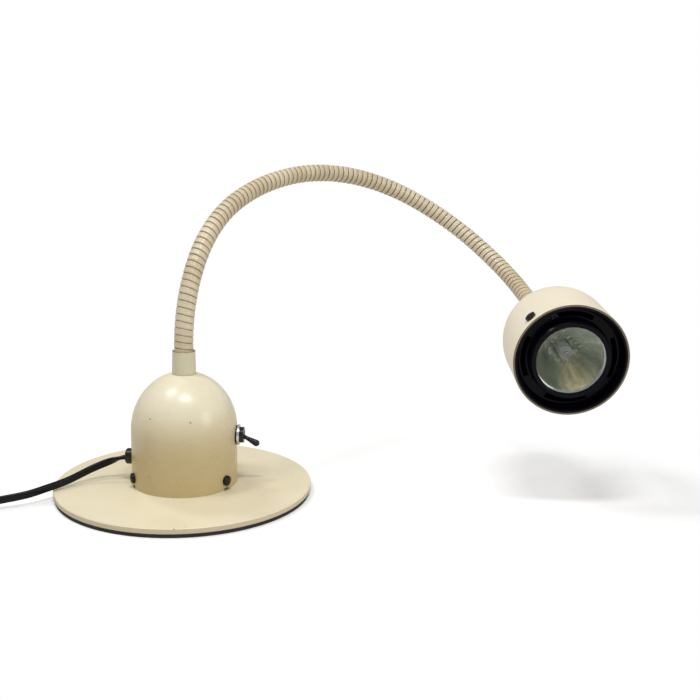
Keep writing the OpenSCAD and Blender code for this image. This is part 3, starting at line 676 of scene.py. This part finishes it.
def loft(rings):
    """Faces between equal rings, capped at both ends."""
    count = len(rings[0])
    verts = [v for ring in rings for v in ring]
    faces = []
    for i in range(len(rings) - 1):
        for k in range(count):
            m = (k + 1) % count
            faces.append((i * count + k, i * count + m, (i + 1) * count + m, (i + 1) * count + k))
    faces.append(tuple(range(count - 1, -1, -1)))
    faces.append(tuple((len(rings) - 1) * count + k for k in range(count)))
    return verts, faces


def sweep(line, outline, edge_on):
    """Closed tube of the outline along the line; edge_on(distance) turns its wide side up."""
    rings = []
    distance = 0.0
    for i, point in enumerate(line):
        ahead = (line[min(i + 1, len(line) - 1)] - line[max(i - 1, 0)]).normalized()
        side = Vector((0, 0, 1)).cross(ahead).normalized()
        up = ahead.cross(side)
        if i:
            distance += (point - line[i - 1]).length
        turn = edge_on(distance) * pi / 2
        wide = side * cos(turn) + up * sin(turn)
        thin = up * cos(turn) - side * sin(turn)
        rings.append([point + wide * x + thin * y for x, y in outline])
    return loft(rings)


def lathe(profile, segments):
    """Surface turned about +Z from (radius, height) pairs in millimetres; a zero is a pole."""
    verts, rows, faces = [], [], []
    for radius, height in profile:
        if not radius:
            rows.append([len(verts)] * segments)
            verts.append(Vector((0, 0, height * MM)))
        else:
            rows.append(list(range(len(verts), len(verts) + segments)))
            turns = [2 * pi * k / segments for k in range(segments)]
            verts += [Vector((radius * MM * cos(a), radius * MM * sin(a), height * MM))
                      for a in turns]
    for low, high in zip(rows, rows[1:]):
        for k in range(segments):
            m = (k + 1) % segments
            face = tuple(dict.fromkeys((low[k], low[m], high[m], high[k])))
            if len(face) > 2:
                faces.append(face)
    return verts, faces


def pin_pair(profile, segments, place):
    """Two pins turned from one profile; place(vertex, side) says where each vertex goes."""
    pin, walls = lathe(profile, segments)
    verts, faces = [], []
    for side in (-1, 1):
        faces += [tuple(len(verts) + i for i in reversed(wall)) for wall in walls]
        verts += [place(v, side) for v in pin]
    return verts, faces


def crease(obj, degrees):
    """Shades a smooth piece as creased over edges sharper than the given angle."""
    bm = bmesh.new()
    bm.from_mesh(obj.data)
    limit = radians(degrees)
    for edge in bm.edges:
        edge.smooth = len(edge.link_faces) == 2 and edge.calc_face_angle(0) < limit
    bm.to_mesh(obj.data)
    bm.free()


# ---- mains cord

CORD_W = 5.4 * MM
CORD_T = 2.9 * MM
CORD_ROUTE = [
    (-42.0, 0, 22.3), (-45, 0, 21.9), (-50, -1, 20.5), (-57, -2.5, 18.0),
    (-65, -7, 15.2), (-71, -13, 13.0), (-77, -20, 11.1), (-83, -26.5, 9.9),
    (-88, -32, 9.3), (-94, -38, 8.4), (-101, -42.5, 7.4), (-114, -48, 6),
    (-128, -52.5, 4.2), (-139, -54.6, 3), (-157, -55, 2.75),
]
TAIL_ROUTE = [
    (-210, -95, 18.7), (-210, -103, 17.6), (-210, -112, 14.4), (-210, -121, 10.2),
    (-210, -130.5, 7.4), (-210, -140, 7),
]
COIL_CENTRE = Vector((-176, -89, 0)) * MM
COIL_OUTER = 34 * MM
COIL_PITCH = 3.0 * MM
COIL_ROWS = 4
COIL_TURNS = 8.25
TURN_POINTS = 24
# share of a turn over which the coil climbs to its next row
CLIMB = 0.3
# the cord leaves the gland flat and stands on its edge from this distance on
EDGE_FROM = 17 * MM
# steps between neighbouring points of the two routes
ROUTE_STEPS, TAIL_STEPS = 4, 3
# how far the sheath is pinched between its two cores, and how wide the pinch is
WAIST_DEPTH, WAIST_WIDTH = 0.16, 0.22


def coil_line():
    """Two turns to a row: inwards in the first and third rows, outwards in the others."""
    line = []
    for k in range(int(COIL_TURNS * TURN_POINTS) + 1):
        turn = k / TURN_POINTS
        row = min(int(turn / 2), COIL_ROWS - 1)
        along = min(turn - 2 * row, 2.0)
        inward = along if row % 2 == 0 else 2 - along
        climbed = sum(smoothstep((turn - 2 * r) / CLIMB + 0.5) for r in range(1, COIL_ROWS))
        radius = COIL_OUTER - COIL_PITCH * inward
        angle = pi / 2 + 2 * pi * turn
        line.append(COIL_CENTRE + Vector((radius * cos(angle), radius * sin(angle),
                                          CORD_W * (0.5 + climbed))))
    return line


def cord_section(points=20):
    """Outline of the two-core sheath: two round cores side by side with a shallow waist."""
    outline = []
    half = CORD_T / 2
    reach = CORD_W / 2 - half
    for k in range(points):
        a = 2 * pi * k / points
        x = half * cos(a) + copysign(reach, cos(a)) * min(abs(cos(a)) * 3, 1)
        waist = 1 - WAIST_DEPTH * exp(-((x / (WAIST_WIDTH * CORD_W)) ** 2))
        outline.append((x, half * sin(a) * waist))
    return outline


def mains_cord():
    """Whole cord from the gland through the coil to the plug, which it carries."""
    lead_in = catmull([Vector(p) * MM for p in CORD_ROUTE], ROUTE_STEPS)
    tail = catmull([Vector(p) * MM for p in TAIL_ROUTE], TAIL_STEPS)
    line = lead_in + coil_line() + tail
    verts, faces = sweep(line, cord_section(), lambda d: smoothstep(d / EDGE_FROM))
    obj = add_piece("mains_cord_flex", verts, faces, "cord_black", "base",
                    node_names=("mains_cord", "cord_coil"))
    mains_plug()
    plug_pins()


# ---- plug

PLUG_X = -210 * MM
PLUG_Z = 7 * MM
PIN_OFFSET = 9.3 * MM
PLUG_PIN_ROUND = 24
# the strain relief's ribs: how many, and in millimetres where the first starts, their pitch,
# half the width of the first and how much that grows for each next one
RIBS, RIB_FROM, RIB_PITCH = 4, -131.2, 3.2
RIB_SIZE, RIB_GROWTH = 3.6, 0.35


def rounded_outline(half_w, half_h, radius, steps=5):
    """Rounded rectangle, counter-clockwise."""
    outline = []
    for qx, qy, start in ((1, 1, 0), (-1, 1, 90), (-1, -1, 180), (1, -1, 270)):
        for k in range(steps):
            a = radians(start + 90 * k / (steps - 1))
            outline.append((qx * (half_w - radius) + radius * cos(a),
                            qy * (half_h - radius) + radius * sin(a)))
    return outline


def mains_plug():
    """Flat two-pin plug with a ribbed strain relief, lofted from the cord to the pins."""
    # y, half the width, half the height and the corner radius in millimetres
    stations = [(-130, 3.4, 2.6, 1.6)]
    for rib in range(RIBS):
        y = RIB_FROM - RIB_PITCH * rib
        grown = RIB_SIZE + RIB_GROWTH * rib
        stations += [(y, grown, grown - 0.5, 2.2),
                     (y - 1.5, grown + 0.2, grown - 0.3, 2.2),
                     (y - 1.7, grown - 0.6, grown - 1.1, 1.6),
                     (y - 2.9, grown - 0.4, grown - 0.9, 1.6)]
    stations += [(-144.2, 6.0, 5.2, 3), (-145.2, 7.0, 6.2, 3.6), (-152, 10.5, 6.7, 4.4),
                 (-160, 15.6, 6.9, 4.6), (-166, 16.8, 7.0, 4.6), (-177.6, 17.0, 7.0, 4.6),
                 (-178.7, 16.6, 6.6, 4.4), (-179, 15.8, 5.8, 4.0)]
    rings = [[Vector((PLUG_X + x * MM, y * MM, PLUG_Z + z * MM))
              for x, z in rounded_outline(half_w, half_h, radius)]
             for y, half_w, half_h, radius in stations]
    verts, faces = loft(rings)
    obj = add_piece("mains_plug_body", verts, faces, "plug_vinyl", "base",
                    node_names=("plug_body",))
    crease(obj, 35)
    return obj


def plug_pins():
    """Two round pins with rounded tips."""
    profile = [(0, -178), (2.0, -178), (2.0, -196.4), (1.6, -197.5), (0.9, -198), (0, -198)]
    verts, faces = pin_pair(profile, PLUG_PIN_ROUND, lambda v, side: Vector(
        (PLUG_X + side * PIN_OFFSET + v.x, v.z, PLUG_Z + v.y)))
    obj = add_piece("mains_plug_pins", verts, faces, "plug_metal", "base",
                    node_names=("plug_pins",))
    crease(obj, 35)
    return obj


# ---- neck

NECK_START = 105.044 * MM
# each stretch's bend and the direction of that bend in degrees, and its length
NECK_BEND = (35, 30, 20, 23.5, 26, 34.5, 39.5, 24.5)
NECK_TURN = (68, 50, 18, 21, 15, -2, -11, -23)
NECK_LENGTH = (62,) * 7 + (71,)
NECK_R = 6.65 * MM
NECK_BORE = 5.1 * MM
# distances along the neck from its first joint
FERRULE_TOP = -4.1 * MM
HOSE_FROM = -9 * MM
# how far the hose goes past the neck's end, and how far past it the turns are counted
HOSE_INTO_SHADE = 0.2 * MM
HOSE_SPARE = 12 * MM
# steps in one turn of the strip
WIND_SEGMENTS = 56
# the strip's pitch in millimetres: far from the foot, how much less it is at the foot, the
# distance over which it grows, and how uneven it is
PITCH_FULL, PITCH_LESS, PITCH_REACH, PITCH_UNEVEN = 4.72, 0.22, 60 * MM, 0.07
# how far a turn may stand out or lie deeper, in millimetres
STRIP_LIFT = 0.05
# one turn's profile: share of the pitch, depth below the crest, share of darkening as dust and
# painted shade
WIND_PROFILE = (
    (0.0, 1.0, 1.0), (0.055, 0.72, 0.9), (0.095, 0.26, 0.35), (0.16, 0.07, 0.03),
    (0.32, 0.0, 0.0), (0.52, 0.04, 0.0), (0.60, 0.12, 0.08), (0.635, 0.22, 0.34),
    (0.68, 0.14, 0.1), (0.82, 0.16, 0.0), (0.88, 0.25, 0.25), (0.92, 0.42, 0.8),
    (0.96, 0.72, 1.0),
)
# grooves are shallow and less darkened at the neck's foot, and full beyond this distance
GROOVE_FULL = 150 * MM
# the strip's second step fades between these distances; it lies between these shares of the
# pitch, and this share of it goes
STEP_FROM, STEP_TO = 220 * MM, 370 * MM
STEP_SHARES = (0.55, 0.8)
STEP_FADE = 0.8
# share of the groove's depth and of its darkening, dust and painted shade, that is left at the
# foot
FOOT_DEPTH, FOOT_DIRT_AND_SHADE = 0.55, 0.62
# distance before each joint at which a sleeve's start is found; nothing uses that point
BLEND_REACH = 28 * MM


def part_stretch(i, share):
    """Frame a given share of the way along stretch i, seen from its start."""
    bend = radians(NECK_BEND[i])
    radius = NECK_LENGTH[i] * MM / bend
    angle = bend * share
    turn = Matrix.Rotation(radians(NECK_TURN[i]), 4, "Z")
    move = Matrix.Translation((radius * (1 - cos(angle)), 0, radius * sin(angle)))
    return turn @ move @ Matrix.Rotation(angle, 4, "Y") @ turn.inverted()


def neck_frames():
    """Frames at the start of each stretch and at the end of the last."""
    frames = [Matrix.Translation((0, 0, NECK_START))]
    for i in range(len(NECK_BEND)):
        frames.append(frames[-1] @ part_stretch(i, 1.0))
    return frames


FRAMES = neck_frames()
STARTS = [sum(NECK_LENGTH[:i]) * MM for i in range(len(NECK_LENGTH) + 1)]


def neck_at(s):
    """Frame at distance s along the neck, straight beyond its ends."""
    if s <= 0:
        return FRAMES[0] @ Matrix.Translation((0, 0, s))
    if s >= STARTS[-1]:
        return FRAMES[-1] @ Matrix.Translation((0, 0, s - STARTS[-1]))
    i = max(k for k in range(len(NECK_BEND)) if STARTS[k] <= s)
    return FRAMES[i] @ part_stretch(i, (s - STARTS[i]) / (NECK_LENGTH[i] * MM))


def wind_table():
    """Where each turn of the strip starts; the turns are shortest at the neck's foot."""
    draw = random.Random(5)
    table = [HOSE_FROM]
    while table[-1] < STARTS[-1] + HOSE_SPARE:
        s = table[-1]
        pitch = PITCH_FULL - PITCH_LESS * exp(-max(s, 0) / PITCH_REACH)
        table.append(s + (pitch + draw.uniform(-PITCH_UNEVEN, PITCH_UNEVEN)) * MM)
    return table


WINDS = wind_table()


def wind_place(turn):
    """Distance along the neck after so many turns, whole or not."""
    n = min(int(turn), len(WINDS) - 2)
    return WINDS[n] + (turn - n) * (WINDS[n + 1] - WINDS[n])


def hose_piece(name, first, last):
    """Solid sleeve of wound strip between two turn numbers, cut short at the neck's ends."""
    low, high = HOSE_FROM, STARTS[-1] + HOSE_INTO_SHADE
    draw = random.Random(11)
    lift = [draw.uniform(-STRIP_LIFT, STRIP_LIFT) * MM for _ in WINDS]
    rings = (last - first) * WIND_SEGMENTS + 1
    rows = len(WIND_PROFILE)
    outer, inner, dirt_and_shade, places = [], [], [], []
    for j in range(rings + WIND_SEGMENTS):
        turn = first + j / WIND_SEGMENTS
        spin = Matrix.Rotation(pi * (0.5 - 2 * (turn - int(turn))), 4, "Z")
        n = min(int(turn), len(lift) - 2)
        swell = lift[n] + (turn - n) * (lift[n + 1] - lift[n])
        begin, end = wind_place(turn), wind_place(turn + 1)
        for share, depth, mask in (WIND_PROFILE if j < rings else WIND_PROFILE[:1]):
            s = min(max(begin + share * (end - begin), low), high)
            here = neck_at(s) @ spin
            full = smoothstep(s / GROOVE_FULL)
            if STEP_SHARES[0] < share < STEP_SHARES[1]:
                fade = 1 - STEP_FADE * smoothstep((s - STEP_FROM) / (STEP_TO - STEP_FROM))
                depth, mask = depth * fade, mask * fade
            depth *= FOOT_DEPTH + (1 - FOOT_DEPTH) * full
            raised = 0.0 if share == 0 else swell
            outer.append(here @ Vector((NECK_R - depth * MM + raised, 0, 0)))
            inner.append(here @ Vector((NECK_BORE, 0, 0)))
            dirt_and_shade.append(mask * (FOOT_DIRT_AND_SHADE + (1 - FOOT_DIRT_AND_SHADE) * full))
            places.append(s)

    def index(j, k):
        """Vertex k of ring j; past the profile's end comes the same place one turn on."""
        if k == rows:
            j, k = j + WIND_SEGMENTS, 0
        return j * rows + k if j < rings else rings * rows + j - rings

    faces, seen = [], {}
    for j in range(rings - 1):
        for k in range(rows):
            face = (index(j, k), index(j + 1, k), index(j + 1, k + 1), index(j, k + 1))
            spread = [places[v] for v in face]
            if max(spread) - min(spread) < TINY and (spread[0] <= low or spread[0] >= high):
                continue
            faces.append(face)
            for a, b in zip(face, face[1:] + face[:1]):
                seen[(a, b)] = True
    offset = len(outer)
    walls = [tuple(offset + v for v in reversed(face)) for face in faces]
    rims = [(b, a, offset + a, offset + b) for a, b in seen if (b, a) not in seen]
    return tidy_hose(name, outer + inner, faces + walls + rims, dirt_and_shade + [0.0] * offset)


def tidy_hose(name, verts, faces, dirt_and_shade):
    """Sleeve's mesh object with its mask of dust and painted shade, without loose or doubled
    vertices.
    """
    mesh = bpy.data.meshes.new(name)
    mesh.from_pydata([tuple(v) for v in verts], [], faces, shade_flat=False)
    mesh.attributes.new("groove", "FLOAT", "POINT").data.foreach_set("value", dirt_and_shade)
    bm = bmesh.new()
    bm.from_mesh(mesh)
    bmesh.ops.delete(bm, geom=[v for v in bm.verts if not v.link_faces], context="VERTS")
    bmesh.ops.remove_doubles(bm, verts=bm.verts, dist=TINY)
    bmesh.ops.dissolve_degenerate(bm, edges=bm.edges, dist=TINY)
    bmesh.ops.recalc_face_normals(bm, faces=bm.faces)
    bm.to_mesh(mesh)
    bm.free()
    mesh.materials.append(MATERIALS["neck_paint"])
    obj = new_object(name, mesh)
    return obj


def wound_neck():
    """The neck in nine sleeves that meet in mid-stretch; the last rides on the head, the others
    are baked in place and stand for the neck's sections.
    """
    cuts = [0]
    for start, length in zip(STARTS, NECK_LENGTH):
        middle = start + length * MM / 2
        cuts.append(min(range(len(WINDS)), key=lambda n: abs(WINDS[n] - middle)))
    cuts.append(len(WINDS) - 2)
    for i, (first, last) in enumerate(zip(cuts, cuts[1:])):
        obj = hose_piece(f"wound_neck_{i + 1}", first, last)
        if i == len(NECK_BEND):
            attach(obj, "head")
            continue
        before = FERRULE_TOP if i == 0 else STARTS[i] - BLEND_REACH
        start = neck_at(before).translation
        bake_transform(obj)
        replaced = [f"neck_section_{i + 1}"] + (["neck_root"] if i == 0 else [])
        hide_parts(*replaced)


# ---- reflector lamp

SHADE_LENGTH = 86.94 * MM
HEAD_ROLL = radians(158)
# the head's own frame, with its origin in the plane of the shade's rim and +Z out of it
HEAD = FRAMES[-1] @ Matrix.Rotation(HEAD_ROLL, 4, "Z") @ Matrix.Translation((0, 0, SHADE_LENGTH))
# radius of the cover glass and heights of its faces, in millimetres
GLASS_R, GLASS_TOP, GLASS_LOW = 24.1, -1.42, -2.42
# radius and height of the mirror's inner and outer edge
MIRROR_IN, MIRROR_LOW = 7.0 * MM, -28.7 * MM
MIRROR_OUT, MIRROR_TOP = 22.4 * MM, -4.1 * MM
FACET_RINGS = 9
FACETS = 44
# the rings of facets lie closer together towards the outer edge
RING_SPREAD = 0.9
# how far facets lie off the parabola, and the shell's wall, in millimetres
FACET_UNEVEN, SHELL_T = 0.09, 1.6
# bands of the hole behind the mirror that are painted dark as shade, counted from its middle
SHADED_BORE_BANDS = 2
# steps in a full turn of the turned pieces
ROUND, FINE_ROUND, QUARTZ_ROUND, PIN_ROUND = 48, 96, 40, 16
# bands of the quartz painted dark as shade, counted from the capsule's foot
DARK_BANDS = (6, 9, 12)
FILAMENT_TURNS, FILAMENT_STEPS = 7, 120
FILAMENT_R, FILAMENT_FROM, FILAMENT_RISE = 0.75, -23, 4.2
WIRE_R = 0.17 * MM
CONTACT_OFFSET = 2.65 * MM


def in_head(verts):
    """Vertices moved from the head's own frame into the world."""
    return [HEAD @ Vector(v) for v in verts]


def turned(name, profile, segments, material, limit=None, inward=False, node_names=()):
    """Piece of the head turned about its axis, creased over edges sharper than limit degrees."""
    verts, faces = lathe(profile, segments)
    if not inward:
        faces = [tuple(reversed(face)) for face in faces]
    obj = add_piece(name, in_head(verts), faces, material, "head", node_names=node_names)
    if limit:
        crease(obj, limit)
    return obj


def reflector_depth(r):
    """Height of the mirror at radius r, a parabola from the rim to the lamp's neck."""
    share = (r * r - MIRROR_IN ** 2) / (MIRROR_OUT ** 2 - MIRROR_IN ** 2)
    return MIRROR_LOW + share * (MIRROR_TOP - MIRROR_LOW)


def head_angle(x, z):
    """Angle round the lamp's axis of a direction across the head."""
    across = HEAD.to_3x3().inverted() @ Vector((x, 0, z))
    return atan2(across.y, across.x)


def bump_at(angle, centre, half_width, edge):
    """1 within half_width of centre, falling smoothly to 0 over edge; all in radians."""
    off = abs((angle - centre + pi) % (2 * pi) - pi)
    return 1 - smoothstep((off - half_width) / edge)


def paint_mirror_reflections(mirror, angles, draw):
    """Sets the mirror's painted reflections: where it looks straw-coloured or lighter, and how
    dark each facet is.
    """
    mesh = mirror.data
    # the painted straw-coloured reflection lies towards the lower right, the lighter one towards
    # the top
    low, high = head_angle(0.55, -1), head_angle(0.10, 1)
    # random painted streaks across the reflections, one value for each column of facets
    streak = [draw.uniform(0.0, 1.0) for _ in range(FACETS + 1)]

    def streaked(angle):
        return streak[int((angle + pi) / (2 * pi) * FACETS + 0.25)]

    painted_fan = [bump_at(a, low, radians(22), radians(26)) * (0.3 + 0.7 * streaked(a)) for a in angles]
    painted_sheen = [bump_at(a, high, radians(60), radians(50)) * (0.35 + 0.4 * streaked(a))
            for a in angles]
    # the two innermost rings, which mirror the capsule, take less straw colour and random painted
    # glints
    for i in range(2 * FACETS):
        painted_fan[i] *= 0.4
        painted_sheen[i] = draw.choice((0.0, 0.1, 1.0))
    mesh.attributes.new("painted_fan", "FLOAT", "POINT").data.foreach_set("value", painted_fan)
    mesh.attributes.new("painted_sheen", "FLOAT", "POINT").data.foreach_set("value", painted_sheen)
    # random darker facets, painted as uneven reflections
    facet = [draw.uniform(0.0, 1.0) ** 2 for _ in mesh.polygons]
    mesh.attributes.new("facet", "FLOAT", "FACE").data.foreach_set("value", facet)


def reflector():
    """Faceted mirror, the hole behind it with its inner bands painted dark as shade, and a smooth
    shell with a rolled rim.
    """
    draw = random.Random(3)
    verts, faces = [], []
    radii = [MIRROR_IN + (MIRROR_OUT - MIRROR_IN) * (k / FACET_RINGS) ** RING_SPREAD
             for k in range(FACET_RINGS + 1)]
    for i, radius in enumerate(radii):
        for k in range(FACETS):
            a = 2 * pi * (k + 0.5 * (i % 2)) / FACETS
            height = reflector_depth(radius)
            if 0 < i < FACET_RINGS:
                height += draw.uniform(-FACET_UNEVEN, FACET_UNEVEN) * MM
            verts.append((radius * cos(a), radius * sin(a), height))
    for i in range(FACET_RINGS):
        for k in range(FACETS):
            m = (k + 1) % FACETS
            low, high = i * FACETS, (i + 1) * FACETS
            if i % 2 == 0:
                faces += [(low + k, low + m, high + k), (low + m, high + m, high + k)]
            else:
                faces += [(low + k, high + m, high + k), (low + k, low + m, high + m)]
    mirror = add_piece("lamp_mirror", in_head(verts), faces, "dichroic_mirror", "head",
                       smooth=False)
    paint_mirror_reflections(mirror, [atan2(y, x) for x, y, _ in verts], draw)
    cup = [(0, -34), (6.0, -34), (6.1, -29.2), (6.3, -28.6), (6.7, -28.4), (7.0, -28.7)]
    hole = turned("lamp_neck_hole", cup, ROUND, "mirror_rim", 40, inward=True)
    # painted shade: the hole's inner bands take a near-black material
    hole.data.materials.append(MATERIALS["painted_bore_shade"])
    for polygon in hole.data.polygons[:SHADED_BORE_BANDS * ROUND]:
        polygon.material_index = 1
    back = [(22.4, -4.1), (24.2, -2.9), (24.3, -1.6), (24.6, -1.35), (25.0, -1.6), (25.1, -3.4),
            (24.4, -4.6), (23.6, -5.8)]
    back += [(r, reflector_depth(r * MM) / MM - SHELL_T) for r in (21, 18, 15, 12, 10)]
    back += [(8.6, -29.5), (8.0, -31), (8.0, -42.6), (7.6, -43), (0, -43)]
    turned("lamp_shell", back, FINE_ROUND, "lamp_back", 40,
           node_names=("lamp_reflector",))


def cover_glass():
    """Clear disc with a bevelled edge, and a thin bright bluish ring on it as a painted highlight.
    """
    r, top, low = GLASS_R, GLASS_TOP, GLASS_LOW
    profile = [(0, top), (r - 1.6, top), (r - 1.3, top), (r - 0.2, top - 0.12),
               (r, top - 0.35), (r, low), (0, low)]
    turned("cover_glass", profile, FINE_ROUND, "clear_glass", 30,
           node_names=("lamp_glass",))
    # painted highlight: a bright bluish ring standing in for the glint along the glass's edge
    edge = [(23.05, -1.38), (23.2, -1.22), (23.5, -1.16), (23.8, -1.22), (23.95, -1.38)]
    edge += [(23.5, -1.46), edge[0]]
    turned("glass_edge_glint", edge, FINE_ROUND, "glass_edge_glint")


def capsule():
    """Quartz capsule with a stepped tip, its filament, and the two contact pins."""
    wall = [(0, -33.9), (4.4, -33.9), (4.7, -33.2), (4.75, -18.6), (4.5, -16.6), (4.1, -15.7),
            (3.6, -15.5), (3.3, -14.9), (2.7, -14.7), (2.3, -14.2), (1.7, -14.25), (1.1, -13.9),
            (0.7, -13.2), (0, -13.0)]
    bulb = turned("lamp_quartz", wall, QUARTZ_ROUND, "quartz", 50, inward=True)
    # painted shade: dark rings on the tip of the clear quartz
    dark = [float(i // QUARTZ_ROUND in DARK_BANDS) for i in range(len(bulb.data.polygons))]
    bulb.data.attributes.new("ring", "FLOAT", "FACE").data.foreach_set("value", dark)
    line = [(1.6, 0, -33), (1.3, 0, -26)]
    for k in range(FILAMENT_STEPS + 1):
        along = k / FILAMENT_STEPS
        a = 2 * pi * FILAMENT_TURNS * along
        line.append((FILAMENT_R * cos(a), FILAMENT_R * sin(a),
                     FILAMENT_FROM + FILAMENT_RISE * along))
    line += [(-1.3, 0, -18), (-1.6, 0, -33)]
    ring = [(WIRE_R * cos(k * pi / 3), WIRE_R * sin(k * pi / 3)) for k in range(6)]
    verts, faces = sweep([Vector(p) * MM for p in line], ring, lambda d: 0)
    add_piece("lamp_filament", in_head(verts), faces, "tungsten", "head")
    profile = [(0, -43), (0.77, -43), (0.77, -49.9), (0.4, -50.4), (0, -50.4)]
    verts, faces = pin_pair(profile, PIN_ROUND,
                            lambda v, side: v + Vector((side * CONTACT_OFFSET, 0, 0)))
    add_piece("lamp_contact_pins", in_head(verts), faces, "plug_metal", "head",
              node_names=("lamp_capsule",))


# ---- build

bpy.context.scene.view_settings.view_transform = "Standard"
set_camera()
white_world()
floor()
lights()
make_materials()
paint_nodes()
mains_cord()
wound_neck()
reflector()
cover_glass()
capsule()
